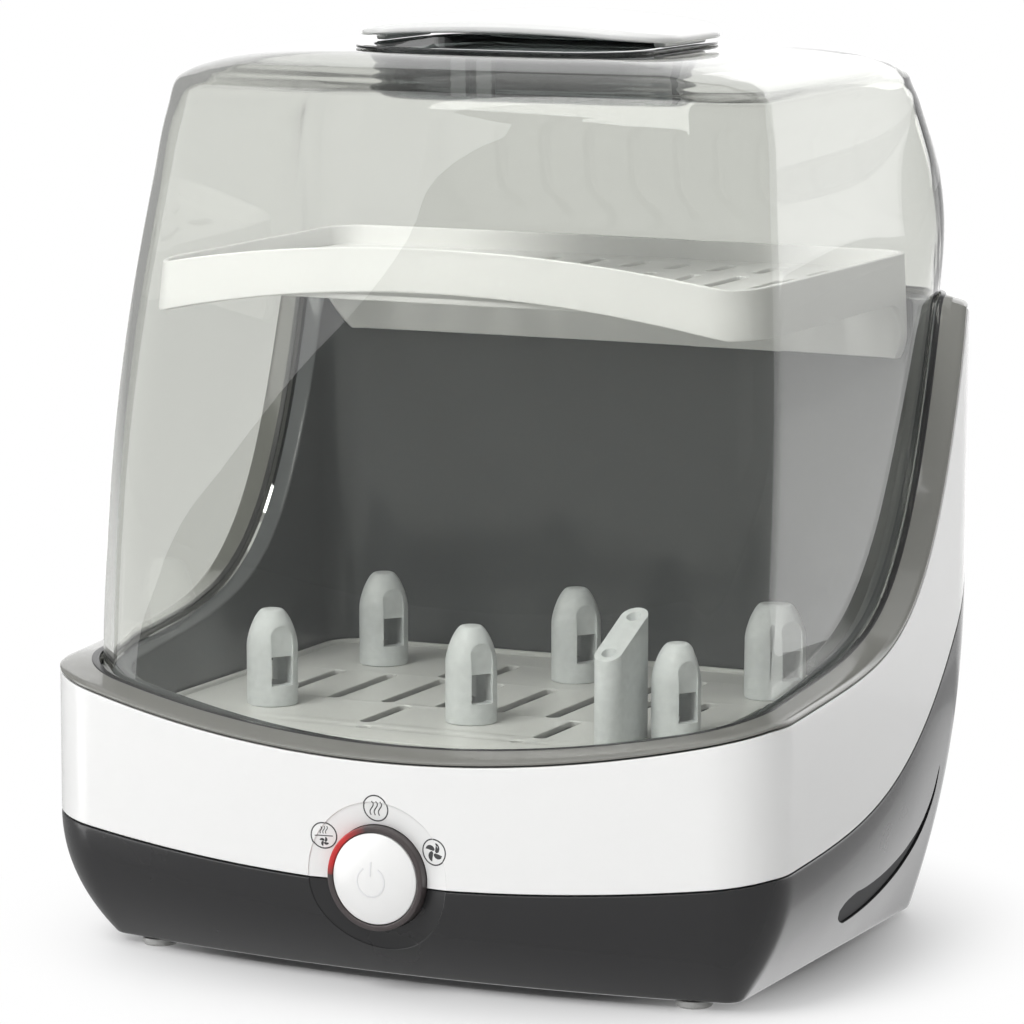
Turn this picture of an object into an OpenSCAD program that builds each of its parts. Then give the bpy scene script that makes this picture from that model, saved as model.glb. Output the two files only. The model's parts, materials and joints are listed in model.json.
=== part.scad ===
// Bottle sterilizer and dryer: a steam base with a clear lift-off lid, an upper tray and a bottle rack.
// Millimetres, +Z up, front towards -Y. The origin is at the centre of the footprint, on the table.

/* [Housing] */
// Width of the housing
body_w = 281; // [250:1:340]
// Depth of the housing at its centre line
body_d = 226; // [205:1:275]
// Height of the rear shoulders above the table
rim_rear = 226; // [200:1:250]
// Height of the rim at the middle of the front
rim_front = 82.5; // [79:0.5:92]
// Height of the rim at the front corners
rim_flank = 101; // [96:0.5:108]
// Height of the colour seam at the middle of the front
seam_front = 38.5; // [34:0.5:44]
// Height of the colour seam at the front corners
seam_flank = 49; // [45:0.5:55]
// Height of the colour seam at the rear
seam_rear = 130; // [115:1:145]
// Radius of the front corners in plan
corner_front = 25; // [22:0.5:32]
// Radius of the rear corners in plan
corner_rear = 36; // [28:0.5:40]
// How far the front bows forward of its corners
front_bow = 12; // [6:0.5:16]
// How far the rear bows backward of its corners
rear_bow = 4; // [0:0.5:8]
// How far the base tucks in at the table
tuck = 18.5; // [12:0.5:22]
// Wall of the mouldings
wall = 2.6; // [2:0.1:3.2]
// Gap between pieces that are fixed to each other
fit_gap = 0.3; // [0.2:0.05:0.4]

/* [Rim trim] */
// Width of the sloped ledge round the lid
ledge_w = 11.2; // [9:0.1:13.5]
// Rise of the ledge from its outer to its inner edge
ledge_rise = 3.3; // [1.5:0.1:4.5]

/* [Chamber] */
// Height of the step that carries the bottle rack
rack_step_z = 80; // [78:0.5:80]
// Height of the chamber floor
floor_z = 58; // [54:0.5:62]
// Radius of the opening for the heating plate
plate_hole_r = 66; // [55:0.5:68]

/* [Lid] */
// Height at which the lid's walls turn into its top
lid_shoulder_z = 302; // [285:1:325]
// Height of the crowned top above that shoulder
lid_crown = 18; // [12:0.5:24]
// Wall of the clear lid
lid_wall = 2.5; // [2:0.1:3]
// How far the walls swell between edge and shoulder
lid_swell = 5; // [0:0.5:7]
// How far the lid's front leans back
lid_lean_front = 31; // [20:1:40]
// How far the lid's rear leans forward
lid_lean_rear = 11; // [6:1:20]
// How far the lid's sides lean in
lid_lean_side = 10.5; // [6:0.5:14]
// How much higher the lid's shoulder is at the rear
lid_rear_rise = 4; // [0:0.5:8]
// Radius of the lid's rear corners at its edge
lid_corner_rear = 18; // [14:0.5:24]

/* [Handle] */
// Half width of the finger dish's mouth
dish_half_w = 54; // [44:1:60]
// Half depth of the finger dish's mouth
dish_half_d = 50; // [42:1:52]
// Depth of the finger dish
dish_drop = 12.5; // [10:0.5:16]
// Half width of the handle plate
plate_half_w = 62; // [56:1:66]
// Half depth of the handle plate
plate_half_d = 38; // [30:1:40]
// Thickness of the handle plate
plate_t = 3.6; // [3:0.1:5]

/* [Upper tray] */
// Height of the tray's top edge along its sides
tray_top_z = 244; // [238:0.5:248]
// Height of the tray's band
tray_band_h = 17.5; // [14:0.5:20]
// How far the front of the band arches up in the middle
tray_arch = 10; // [4:0.5:12]
// Width of a drain slot
drain_w = 5; // [4:0.5:6]

/* [Bottle rack] */
// Thickness of the rack's floor
rack_t = 2.4; // [2:0.1:3]
// Spacing of the posts across the rack
post_pitch_x = 80; // [74:0.5:82]
// Spacing of the two rows of posts
post_pitch_y = 88; // [80:0.5:90]
// Radius of a bottle post
post_r = 9.2; // [8:0.1:10]
// Height of a bottle post above the rack's floor
post_h = 34.5; // [28:0.5:40]

/* [Button] */
// Height of the button's axis above the table
button_z = 41; // [40:0.5:43]
// Radius of the button's cap
button_r = 16; // [14:0.1:19.5]
// Width of the light ring round the button
light_ring_w = 1.9; // [1.5:0.1:2.4]
// How far the cap's dome stands out of the front
button_proud = 4.6; // [3:0.1:6]
// Radius of the shallow recess round the button
recess_r = 26.5; // [24:0.5:28]
// Depth of that recess
recess_depth = 1.2; // [0.4:0.1:1.5]
// Travel of the button
button_travel = 1.6; // [1:0.1:2]

/* [Heater] */
// Thickness of the heating plate
heater_t = 2; // [1.5:0.1:3]
// Radius of the element's ring
element_ring_r = 45; // [36:1:52]
// Radius of the element's tube
element_tube_r = 4; // [3:0.1:4.5]

/* [Blower] */
// Radius of the blower housing
blower_r = 34; // [32:0.5:36]
// Height of the blower housing
blower_h = 24; // [20:0.5:26]
// Number of impeller blades
blade_count = 22; // [14:1:26]
// Radius of the air neck
neck_r = 13; // [11:0.1:13.5]

/* [Filter] */
// Width of the filter opening in the rear wall
filter_w = 84; // [70:1:90]
// Height of the filter opening in the rear wall
filter_h = 40; // [34:1:44]
// Height of the opening's middle above the table
filter_z = 103; // [100:0.5:105]
// Number of louvres in the filter cover
louvre_count = 6; // [4:1:7]

/* [Feet and fasteners] */
// Height of the base above the table
foot_h = 2.8; // [2:0.1:5]
// Radius of a foot
foot_r = 6.5; // [5:0.1:7]
// Radius of a screw's shank
screw_r = 1.5; // [1.2:0.1:1.7]

/* [Hidden] */

// Colours of the materials
white = "white";
charcoal = [0.22, 0.22, 0.22];
warm_grey = [0.6, 0.59, 0.56];
smoke = [0.35, 0.39, 0.39];
clear_smoke = [0.8, 0.84, 0.83, 0.35];
steel = [0.78, 0.78, 0.78];
board_green = [0.1, 0.35, 0.2];
frosted = [0.86, 0.89, 0.89];
rubber_grey = [0.7, 0.7, 0.7];
brass = [0.8, 0.65, 0.35];

// Smoothness of round pieces
$fn = 64;
// Overlap that makes a cut pass its surface
cut = 1;

// Places of the housing: the button's dome is the foremost point, the rear wall the rearmost
shift_y = button_proud / 2;
front_y = -body_d / 2 + shift_y;
rear_y = body_d / 2 + shift_y;
half_w = body_w / 2;
mid_y = (front_y + rear_y) / 2;

// Plan of the housing: half width, front, rear, bows, corner radii
body_plan = [half_w, front_y, rear_y, front_bow, rear_bow, corner_front, corner_rear];
// Share of an inset that a corner radius gives up, in the chamber and in the tucked-in base
round_share = 0.35;
tuck_share = 1;
// Least radius of an inset corner
least_r = 2;
// Points along half the front, a corner, a flank and half the rear
n_front = 4;
n_corner = 5;
n_flank = 10;
n_rear = 3;
// How strongly the flank's points crowd towards the rear sweep
flank_crowd = 1.7;

// Where the rim and the seam start and end their sweep
sweep_start_y = front_y + 18;
rim_sweep_end_y = rear_y - 32;
seam_sweep_end_y = rear_y - 25;
rim_slope_rise = 12;
seam_slope_rise = 8;
rim_power = 6;
seam_power = 4;
tuck_power = 2.05;
dip_half_w = half_w - 3;
// How much the crest at the top of the sweep is rounded
crest_round = 4;

function clamp01(v) = min(1, max(0, v));
function mix(a, b, v) = a * (1 - v) + b * v;
// The smaller or larger of two values, their meeting rounded over about k
function soft_min(a, b, k) = (a + b - sqrt(pow(a - b, 2) + k * k)) / 2;
function soft_max(a, b, k) = (a + b + sqrt(pow(a - b, 2) + k * k)) / 2;
// Share of the front's dip that holds at depth y
function dip_share(x, y) = max(0, 1 - pow(x / dip_half_w, 2))
    * clamp01((mid_y - y) / (mid_y - sweep_start_y));
// A straight rise and a power curve that sweeps up to the rear, with a dip at the front
function sweep_z(p, z_front, z_flank, z_rear, rise, power, end_y) =
  let (t = soft_max((p[1] - sweep_start_y) / (end_y - sweep_start_y), 0, 0.03))
  soft_min(z_flank + rise * t + (z_rear - z_flank - rise) * pow(t, power), z_rear, crest_round)
  - (z_flank - z_front) * dip_share(p[0], p[1]);
function rim_z(p) = sweep_z(p, rim_front, rim_flank, rim_rear, rim_slope_rise, rim_power, rim_sweep_end_y);
function seam_z(p) = sweep_z(p, seam_front, seam_flank, seam_rear, seam_slope_rise, seam_power,
    seam_sweep_end_y);

// A rounded, bowed plan outline, from the front's middle round the right side and back
function arc_points(cx, cy, r, a0, a1, n) =
  [for (i = [1:n]) let (t = mix(a0, a1, i / n)) [cx + r * cos(t), cy + r * sin(t)]];
// Slope of a bowed edge where a corner of radius r meets it
function bow_slope(w, bow, r, tries = 4, a = 0) =
  tries == 0 ? a : bow_slope(w, bow, r, tries - 1, atan(2 * bow * (w - r + r * sin(a)) / (w * w)));
function half_outline(p) =
  let (
    af = bow_slope(p[0], p[3], p[5]),
    ar = bow_slope(p[0], p[4], p[6]),
    xf = p[0] - p[5] * (1 - sin(af)),
    xr = p[0] - p[6] * (1 - sin(ar)),
    cf = p[1] + p[3] * pow(xf / p[0], 2) + p[5] * cos(af),
    cr = p[2] - p[4] * pow(xr / p[0], 2) - p[6] * cos(ar)
  )
  concat(
    [for (i = [0:n_front]) let (x = xf * i / n_front) [x, p[1] + p[3] * pow(x / p[0], 2)]],
    arc_points(p[0] - p[5], cf, p[5], af - 90, 0, n_corner),
    [for (i = [1:n_flank]) [p[0], mix(cf, cr, 1 - pow(1 - i / n_flank, flank_crowd))]],
    arc_points(p[0] - p[6], cr, p[6], 0, 90 - ar, n_corner),
    [for (i = [1:n_rear]) let (x = xr * (1 - i / n_rear)) [x, p[2] - p[4] * pow(x / p[0], 2)]]
  );
function outline(p) =
  let (h = half_outline(p))
  concat(h, [for (i = [len(h) - 2:-1:1]) [-h[i][0], h[i][1]]]);
function inset(p, e, share = round_share) =
  [p[0] - e, p[1] + e, p[2] - e, p[3], p[4], max(least_r, p[5] - share * e),
      max(least_r, p[6] - share * e)];

// Plan of the lid's lower edge, and of any outline between it and the housing's outside or within it
lid_e = ledge_w + 0.8;
edge_plan = [half_w - lid_e, front_y + lid_e, rear_y - lid_e, front_bow, rear_bow, corner_front - 3,
    lid_corner_rear];
function plan_at(e) = e < lid_e ? mix(body_plan, edge_plan, e / lid_e) : inset(edge_plan, e - lid_e);

// A ring is an outline with a height at each point
function ring(points, zs) = [for (i = [0:len(points) - 1]) [points[i][0], points[i][1], zs[i]]];
function flat_ring(points, z) = [for (p = points) [p[0], p[1], z]];
function level_ring(e, z) = flat_ring(outline(plan_at(e)), z);
// Rings that follow the seam, and the rim at distance d square to its sweep
function seam_ring(e, d) = [for (p = outline(plan_at(e))) [p[0], p[1], seam_z(p) + d]];
slope_step = 5;
function rim_angle(p) = atan((rim_z([p[0], p[1] + slope_step]) - rim_z([p[0], p[1] - slope_step]))
    / (2 * slope_step));
function rim_points(points, d) =
  [for (p = points) let (t = rim_angle(p)) [p[0], p[1] - d * sin(t), rim_z(p) + d * cos(t)]];
function rim_ring(e, d) = rim_points(outline(plan_at(e)), d);
function mix_rings(a, b, v) = [for (i = [0:len(a) - 1]) mix(a[i], b[i], v)];
function scaled(points, centre, s) = [for (p = points) centre + ([p[0], p[1]] - centre) * s];
function round_hole(points, centre, r) =
  [for (p = points) let (d = [p[0], p[1]] - centre) centre + d * r / norm(d)];

// Faces between rings j and j + 1; the left half mirrors the right half's diagonals
function band_faces(n, m, j) = [for (i = [0:n - 1])
  let (a = j * n + i, b = j * n + (i + 1) % n,
       c = ((j + 1) % m) * n + i, d = ((j + 1) % m) * n + (i + 1) % n)
  each (i < n / 2 ? [[a, c, b], [b, c, d]] : [[a, c, d], [a, d, b]])];
// A skin through rings of equal length; its last ring joins the first
module loft(rings) {
  n = len(rings[0]);
  m = len(rings);
  polyhedron(points = [for (r = rings) each r], faces = [for (j = [0:m - 1]) each band_faces(n, m, j)],
      convexity = 8);
}
// A skin through rings whose first and last rings are flat and closed
module loft_solid(rings) {
  n = len(rings[0]);
  m = len(rings);
  polyhedron(
    points = [for (r = rings) each r],
    faces = concat([[for (i = [0:n - 1]) i]], [[for (i = [n - 1:-1:0]) (m - 1) * n + i]],
      [for (j = [0:m - 2]) each band_faces(n, m, j)]),
    convexity = 4
  );
}
module plan_plate(e, z, h) translate([0, 0, z]) linear_extrude(h) polygon(outline(plan_at(e)));
// Axis forward, towards -Y, starting at depth y
module facing_front(y, z) translate([0, y, z]) rotate([90, 0, 0]) children();
module mirrored() {
  children();
  mirror([1, 0, 0]) children();
}
module slot_plate(length, width, h) linear_extrude(h) {
  square([length - width, width], center = true);
  for (s = [-1, 1]) translate([s * (length - width) / 2, 0]) circle(d = width, $fn = 24);
}

// ---- Housing ----
button_hole_r = button_r + light_ring_w + 2 * fit_gap + 0.1;
// The housing's lip inside the shell above it
lip_h = 4;
lip_e = wall + fit_gap;
lip_t = 2;
seam_gap = 0.6;
// The crescent groove in each flank: its ends, its bulge and its depth
groove_low = [front_y + 112, 21];
groove_high = [front_y + 186, 74];
groove_bow = 14;
groove_w = 10;
groove_depth = 1.4;
gland_x = -78;
gland_z = 46;
gland_r = 7;

seams = [for (p = outline(body_plan)) seam_z(p)];
function tuck_e(v) = tuck * pow(1 - v, tuck_power);
function hull_outline(e) = outline(inset(body_plan, e, tuck_share));
function hull_ring(v, t) = ring(hull_outline(tuck_e(v) + t), [for (z = seams) mix(foot_h, z, v)]);
// Shares of the height, crowded where the hull curves most
hull_steps = [0.04, 0.11, 0.22, 0.38, 0.6, 0.8];
// Inset of the hull's lower lip and of the base plate inside it
lip_low_e = tuck + 0.9;
pan_e = lip_low_e + 1.6;

// A crescent: an arc outward and a flatter arc back, round at the lower end and pointed at the upper
function crescent_point(t, offset) =
  let (
    along = groove_high - groove_low,
    across = [along[1], -along[0]] / norm(along),
    p = mix(groove_low, groove_high, t)
  )
  p + across * (4 * groove_bow * t * (1 - t) + offset * pow(1 - t, 0.6) * min(1, sqrt(t * 8)));
module crescent() polygon(concat(
  [for (i = [0:12]) crescent_point(i / 12, -groove_w / 2)],
  [for (i = [11:-1:1]) crescent_point(i / 12, groove_w / 2)]
));

// A cut of one depth all along the skin: the children's prism without the hull inset by that depth
module skin_cut(depth) difference() {
  children();
  loft_solid(concat(
    [flat_ring(hull_outline(tuck + depth), -cut)],
    [for (v = hull_steps) hull_ring(v, depth)],
    [ring(hull_outline(depth), seams), flat_ring(hull_outline(depth), rim_rear)]
  ));
}
module flank_groove() skin_cut(groove_depth) translate([half_w - tuck, 0, 0]) rotate([90, 0, 90])
  linear_extrude(tuck + cut) crescent();
module button_recess() skin_cut(recess_depth) facing_front(front_y + tuck, button_z)
  cylinder(r = recess_r, h = tuck + cut, $fn = 96);

module lower_housing() color(charcoal) difference() {
  loft(concat(
    [flat_ring(hull_outline(lip_low_e), foot_h), flat_ring(hull_outline(tuck), foot_h + 0.4)],
    [for (v = hull_steps) hull_ring(v, 0)],
    [seam_ring(0, -seam_gap / 2), seam_ring(lip_e, -seam_gap / 2), seam_ring(lip_e, lip_h),
     seam_ring(lip_e + lip_t, lip_h), seam_ring(lip_e + lip_t, -2)],
    [for (i = [len(hull_steps) - 1:-1:0]) hull_ring(hull_steps[i], wall)],
    [flat_ring(hull_outline(pan_e - fit_gap), foot_h + 0.6)]
  ));
  facing_front(front_y + 30, button_z) cylinder(r = button_hole_r, h = 60);
  translate([-filter_w / 2, rear_y - 20, filter_z - filter_h / 2]) cube([filter_w, 20 + cut, filter_h]);
  translate([gland_x, rear_y - 30, gland_z]) rotate([-90, 0, 0]) cylinder(r = gland_r + fit_gap, h = 40);
  mirrored() flank_groove();
  button_recess();
}

shell_top_d = -1.2;
module body_shell() color(white) difference() {
  loft([
    seam_ring(0, seam_gap / 2), mix_rings(seam_ring(0, 0), rim_ring(0, 0), 0.5), rim_ring(0, shell_top_d),
    rim_ring(wall, shell_top_d), mix_rings(seam_ring(wall, 0), rim_ring(wall, 0), 0.5),
        seam_ring(wall, seam_gap / 2)
  ]);
  facing_front(front_y + 30, button_z) cylinder(r = button_hole_r, h = 60);
  button_recess();
}

// Section of the trim: inset and height above the rim, from the outer foot over the ledge to the inner foot
trim_section = [
  [0, -0.5], [0, 0.4], [0.8, 1], [4.5, 2.1], [ledge_w - 2.2, ledge_rise - 0.2], [ledge_w - 0.6, ledge_rise],
  [ledge_w, ledge_rise - 0.5], [ledge_w, -0.5], [0.75 * ledge_w, -0.5], [ledge_w / 2, -0.5],
  [ledge_w / 4, -0.5]
];
module rim_trim() color(warm_grey) loft([for (s = trim_section) rim_ring(s[0], s[1])]);

// ---- Chamber ----
liner_t = 2.4;
flange_top = 0.9;
flange_e = ledge_w + 0.5;
flange_w = 9;
liner_e = flange_e + flange_w;
step_e = liner_e + 1.5;
step_w = 3.5;
well_e = step_e + step_w;
plate_centre = [0, mid_y - 15];
neck_xy = [76, mid_y + 46];
blower_xy = [56, mid_y + 28];
boss_r = 4;
boss_xy = [for (x = [98]) for (y = [-62, 4, 70]) [x, mid_y + y]];
pan_t = 2.6;
pan_top_z = foot_h + pan_t;

function floor_hole(z) = flat_ring(round_hole(outline(plan_at(well_e + 6)), plate_centre,
    plate_hole_r - 8), z);
module chamber_liner() color(charcoal) difference() {
  union() {
    loft([
      rim_ring(wall + 0.6, -3.8), rim_ring(wall + 0.6, -1.9), rim_ring(flange_e * 0.63, -1.9),
      rim_ring(flange_e, -1.9), rim_ring(flange_e, flange_top),
      rim_ring(liner_e - 0.8, flange_top), rim_ring(liner_e, flange_top - 0.8),
      level_ring(step_e, rack_step_z), level_ring(well_e, rack_step_z),
      level_ring(well_e + 0.4, rack_step_z - 2), level_ring(well_e + 2.6, floor_z + 2.5),
          level_ring(well_e + 6, floor_z),
      floor_hole(floor_z), floor_hole(floor_z - liner_t),
      level_ring(well_e + 5, floor_z - liner_t), level_ring(well_e + 1, floor_z + 0.3),
      level_ring(well_e + 0.2 - liner_t, rack_step_z - liner_t),
          level_ring(step_e - liner_t, rack_step_z - liner_t),
      rim_ring(liner_e - liner_t, flange_top - liner_t), rim_ring(flange_e + 1.6, flange_top - liner_t),
      rim_ring(flange_e + 1.4, -3.8)
    ]);
    mirrored() for (p = boss_xy) translate([p[0], p[1], pan_top_z + fit_gap])
      cylinder(r = boss_r, h = floor_z - pan_top_z - 1);
  }
  mirrored() for (p = boss_xy) translate([p[0], p[1], 0]) cylinder(r = screw_r, h = floor_z - 8, $fn = 24);
  translate([neck_xy[0], neck_xy[1], floor_z - 10]) cylinder(r = neck_r, h = 20);
  translate([plate_centre[0], plate_centre[1], floor_z - 10]) cylinder(r = plate_hole_r, h = 20, $fn = 96);
}

// ---- Heater ----
gasket_h = 0.6;
gasket_gap = 0.2;
plate_flange_z = floor_z - liner_t - gasket_h - 2 * gasket_gap;
heater_flange_r = plate_hole_r + 3;
heater_rise = 2.6;
module heating_plate() color(steel) translate([plate_centre[0], plate_centre[1], plate_flange_z]) {
  translate([0, 0, -heater_t]) cylinder(r = heater_flange_r, h = heater_t, $fn = 96);
  cylinder(r = plate_hole_r - 1.4, h = heater_rise, $fn = 96);
}
module plate_gasket() color([0.75, 0.4, 0.3])
    translate([plate_centre[0], plate_centre[1], plate_flange_z + gasket_gap])
  difference() {
    cylinder(r = heater_flange_r, h = gasket_h, $fn = 96);
    translate([0, 0, -cut]) cylinder(r = plate_hole_r - 0.8, h = gasket_h + 2 * cut, $fn = 96);
  }
element_z = plate_flange_z - heater_t - fit_gap - element_tube_r;
element_angle = 300;
lead_h = 14;
module heating_element() color(steel) translate([plate_centre[0], plate_centre[1], element_z])
  rotate([0, 0, 90 + (360 - element_angle) / 2]) {
    rotate_extrude(angle = element_angle, $fn = 96) translate([element_ring_r, 0])
        circle(r = element_tube_r, $fn = 24);
    for (t = [0, element_angle]) rotate([0, 0, t]) translate([element_ring_r, 0, -lead_h])
      cylinder(r = element_tube_r * 0.6, h = lead_h, $fn = 24);
  }
thermostat_r = 8;
thermostat_h = 7;
module thermostat() color(brass)
    translate([plate_centre[0], plate_centre[1], plate_flange_z - heater_t - fit_gap - thermostat_h])
  difference() {
    union() {
      cylinder(r = thermostat_r, h = thermostat_h);
      translate([-15, -4, thermostat_h - 1.2]) cube([30, 8, 1.2]);
    }
    for (s = [-1, 1]) translate([s * 12, 0, 0]) cylinder(r = 1.6, h = thermostat_h + cut, $fn = 24);
  }

// ---- Blower and hot air ----
blower_z = pan_top_z + fit_gap + 3;
blower_wall = 2;
bell_r = 15;
impeller_r = blower_r - 5;
impeller_h = 14;
impeller_z = blower_z + 4;
shaft_r = 1.5;
motor_r = 10.5;
motor_h = 14;
motor_z = blower_z + blower_h + fit_gap;
neck_top_z = floor_z - liner_t - fit_gap;
module blower_housing() color(charcoal) difference() {
  union() {
    translate([blower_xy[0], blower_xy[1], blower_z]) cylinder(r = blower_r, h = blower_h);
    translate([blower_xy[0], blower_xy[1], pan_top_z + fit_gap]) for (t = [45:90:315]) rotate([0, 0, t])
      translate([blower_r - 3, 0, 0]) cylinder(r = 2.5, h = 6, $fn = 32);
    translate([neck_xy[0], neck_xy[1], blower_z + blower_h - 2])
        cylinder(r = neck_r, h = neck_top_z - blower_z - blower_h + 2);
  }
  translate([blower_xy[0], blower_xy[1], blower_z + blower_wall])
      cylinder(r = blower_r - blower_wall, h = blower_h - 2 * blower_wall);
  translate([blower_xy[0], blower_xy[1], blower_z - cut]) cylinder(r = bell_r, h = blower_wall + 2 * cut);
  translate([blower_xy[0], blower_xy[1], blower_z + blower_h / 2]) cylinder(r = shaft_r + 1, h = blower_h);
  translate([neck_xy[0], neck_xy[1], blower_z + blower_h - blower_wall - cut])
    cylinder(r = neck_r - blower_wall, h = 60);
}
module fan_motor() color(steel) translate([blower_xy[0], blower_xy[1], motor_z]) difference() {
  union() {
    cylinder(r = motor_r, h = motor_h);
    translate([0, 0, motor_h]) cylinder(r = 3.5, h = 2.5, $fn = 32);
    for (s = [-1, 1]) translate([s * 4, 5, motor_h]) cube([2, 0.8, 5], center = true);
  }
  translate([0, 0, -cut]) cylinder(r = shaft_r + 0.25, h = motor_h - 2, $fn = 32);
}
blade_t = 1.2;
blade_in = 0.55;
blade_tilt = 35;
module fan_impeller() color([0.3, 0.3, 0.32]) translate([blower_xy[0], blower_xy[1], impeller_z]) {
  difference() {
    union() {
      translate([0, 0, impeller_h - 1.5]) cylinder(r = impeller_r - 1, h = 1.5, $fn = 96);
      translate([0, 0, 5]) cylinder(r = 5, h = impeller_h - 5, $fn = 32);
      for (i = [0:blade_count - 1]) rotate([0, 0, 360 * i / blade_count])
        translate([impeller_r * (1 + blade_in) / 2, 0, 0]) rotate([0, 0, blade_tilt])
          translate([-impeller_r * (1 - blade_in) / 2, -blade_t / 2, 0])
              cube([impeller_r * (1 - blade_in) * 0.98, blade_t, impeller_h - 1]);
    }
  }
  difference() {
    cylinder(r = impeller_r, h = 1.2, $fn = 96);
    translate([0, 0, -cut]) cylinder(r = impeller_r * 0.68, h = 1.2 + 2 * cut, $fn = 96);
  }
  translate([0, 0, impeller_h - 2])
      cylinder(r = shaft_r, h = motor_z + motor_h - 5 - impeller_z - impeller_h + 2, $fn = 32);
}
heater_core_h = 10;
module air_heater() color(brass) translate([neck_xy[0], neck_xy[1], neck_top_z - heater_core_h - 6]) {
  core_r = neck_r - blower_wall - fit_gap;
  difference() {
    cylinder(r = core_r, h = heater_core_h);
    translate([0, 0, -cut]) cylinder(r = core_r - 1.2, h = heater_core_h + 2 * cut);
  }
  for (i = [-2:2]) intersection() {
    translate([i * 3.6 - 0.5, -core_r, 0]) cube([1, 2 * core_r, heater_core_h]);
    cylinder(r = core_r, h = heater_core_h);
  }
}
grille_flange = 2.5;
module outlet_grille() color(charcoal) translate([neck_xy[0], neck_xy[1], floor_z + 0.2]) difference() {
  union() {
    cylinder(r = neck_r + grille_flange, h = 1.6);
    translate([0, 0, -liner_t - 0.2]) cylinder(r = neck_r - fit_gap, h = 2.6);
  }
  for (i = [-2:2]) translate([i * 4.2 - 1.3, -sqrt(pow(neck_r - 2, 2) - pow(i * 4.2, 2)) , -10])
    cube([2.6, 2 * sqrt(pow(neck_r - 2, 2) - pow(i * 4.2, 2)), 20]);
}

// ---- Controls ----
board_y = front_y + 22;
board_t = 1.6;
board_w = 84;
board_h = 40;
board_z = pan_top_z + fit_gap + 3;
carrier_y = front_y + 10;
carrier_t = 2.5;
ring_front_y = front_y - 1.5;
ring_r = button_r + fit_gap + light_ring_w;
module light_ring() color([0.45, 0.25, 0.25]) facing_front(carrier_y - fit_gap, button_z) difference() {
  cylinder(r = ring_r, h = carrier_y - fit_gap - ring_front_y, $fn = 96);
  translate([0, 0, -cut]) cylinder(r = button_r + fit_gap, h = 40, $fn = 96);
}
cap_side = 9;
dome_h = 3.4;
dome_r = (button_r * button_r + dome_h * dome_h) / (2 * dome_h);
stem_r = 4;
module power_button() color(white) {
  facing_front(front_y - button_proud + dome_h, button_z) {
    intersection() {
      translate([0, 0, dome_h - dome_r]) sphere(r = dome_r, $fn = 128);
      cylinder(r = button_r, h = dome_h + cut, $fn = 96);
    }
    translate([0, 0, -cap_side]) cylinder(r = button_r, h = cap_side, $fn = 96);
  }
  facing_front(board_y - 3.2 - button_travel, button_z)
    cylinder(r = stem_r, h = board_y - 3.2 - button_travel - front_y - 2, $fn = 48);
}
carrier_w = 52;
module button_carrier() color(charcoal) {
  difference() {
    union() {
      translate([-carrier_w / 2, carrier_y, button_z - 19]) cube([carrier_w, carrier_t, 42]);
      for (s = [-1, 1]) translate([s * (carrier_w / 2 - 3), board_y - fit_gap, button_z - 10])
          rotate([90, 0, 0])
        cylinder(r = 3, h = board_y - fit_gap - carrier_y - 1, $fn = 32);
    }
    facing_front(carrier_y + 20, button_z) cylinder(r = stem_r + 0.5, h = 60, $fn = 48);
  }
}
switch_w = 7;
module control_board() color(board_green) {
  translate([-board_w / 2, board_y, board_z]) cube([board_w, board_t, board_h]);
  translate([-switch_w / 2, board_y - 2.9, button_z - switch_w / 2]) cube([switch_w, 3, switch_w]);
  translate([-board_w / 2 + 8, board_y + board_t - 0.1, board_z + 6]) cube([22, 6, 10]);
  translate([14, board_y + board_t - 0.1, board_z + 10]) cube([14, 1.6, 14]);
}
power_x = -60;
power_y = mid_y + 50;
power_w = 62;
power_d = 48;
standoff_h = 8;
standoff_xy = [for (sx = [-1, 1])
    for (sy = [-1, 1]) [power_x + sx * (power_w / 2 - 4), power_y + sy * (power_d / 2 - 4)]];
power_z = pan_top_z + standoff_h + 2 * fit_gap;
module power_board() color(board_green) {
  translate([power_x - power_w / 2, power_y - power_d / 2, power_z]) cube([power_w, power_d, board_t]);
  translate([power_x - 20, power_y - 12, power_z + board_t - 0.1]) cube([22, 18, 16]);
  translate([power_x + 8, power_y - 8, power_z + board_t - 0.1]) cube([12, 16, 13]);
  for (i = [0:1]) translate([power_x + 12, power_y + 16, power_z + board_t - 0.1])
      translate([i * -14, 0, 0])
    cylinder(r = 4, h = 12, $fn = 32);
}
module board_standoffs() color(brass) for (p = standoff_xy) translate([p[0], p[1], pan_top_z + fit_gap])
  cylinder(r = 3, h = standoff_h, $fn = 32);

// ---- Filter and cord gland ----
// The frame fills the depth between the rear wall and the chamber's wall
filter_setback = 3;
filter_back_y = rear_y - filter_setback;
filter_depth = liner_e - liner_t - filter_setback - fit_gap;
filter_wall = 2.2;
filter_clear = 0.4;
pleat_count = 12;
module filter_frame() color(charcoal) difference() {
  translate([-filter_w / 2 + fit_gap, filter_back_y - filter_depth, filter_z - filter_h / 2 + fit_gap])
    cube([filter_w - 2 * fit_gap, filter_depth, filter_h - 2 * fit_gap]);
  translate([-filter_w / 2 + fit_gap + filter_wall, filter_back_y - filter_depth + filter_wall,
      filter_z - filter_h / 2 + fit_gap + filter_wall])
    cube([filter_w - 2 * (fit_gap + filter_wall), filter_depth, filter_h - 2 * (fit_gap + filter_wall)]);
  for (i = [-3:3]) translate([i * 10 - 3, filter_back_y - filter_depth - cut, filter_z - filter_h / 2 + 7])
    cube([6, filter_wall + 2 * cut, filter_h - 14]);
}
filter_in_w = filter_w - 2 * (fit_gap + filter_wall + filter_clear);
filter_in_h = filter_h - 2 * (fit_gap + filter_wall + filter_clear);
cover_t = 2.4;
pleat_d = 8;
pleat_y = filter_back_y - cover_t - fit_gap - pleat_d;
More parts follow.
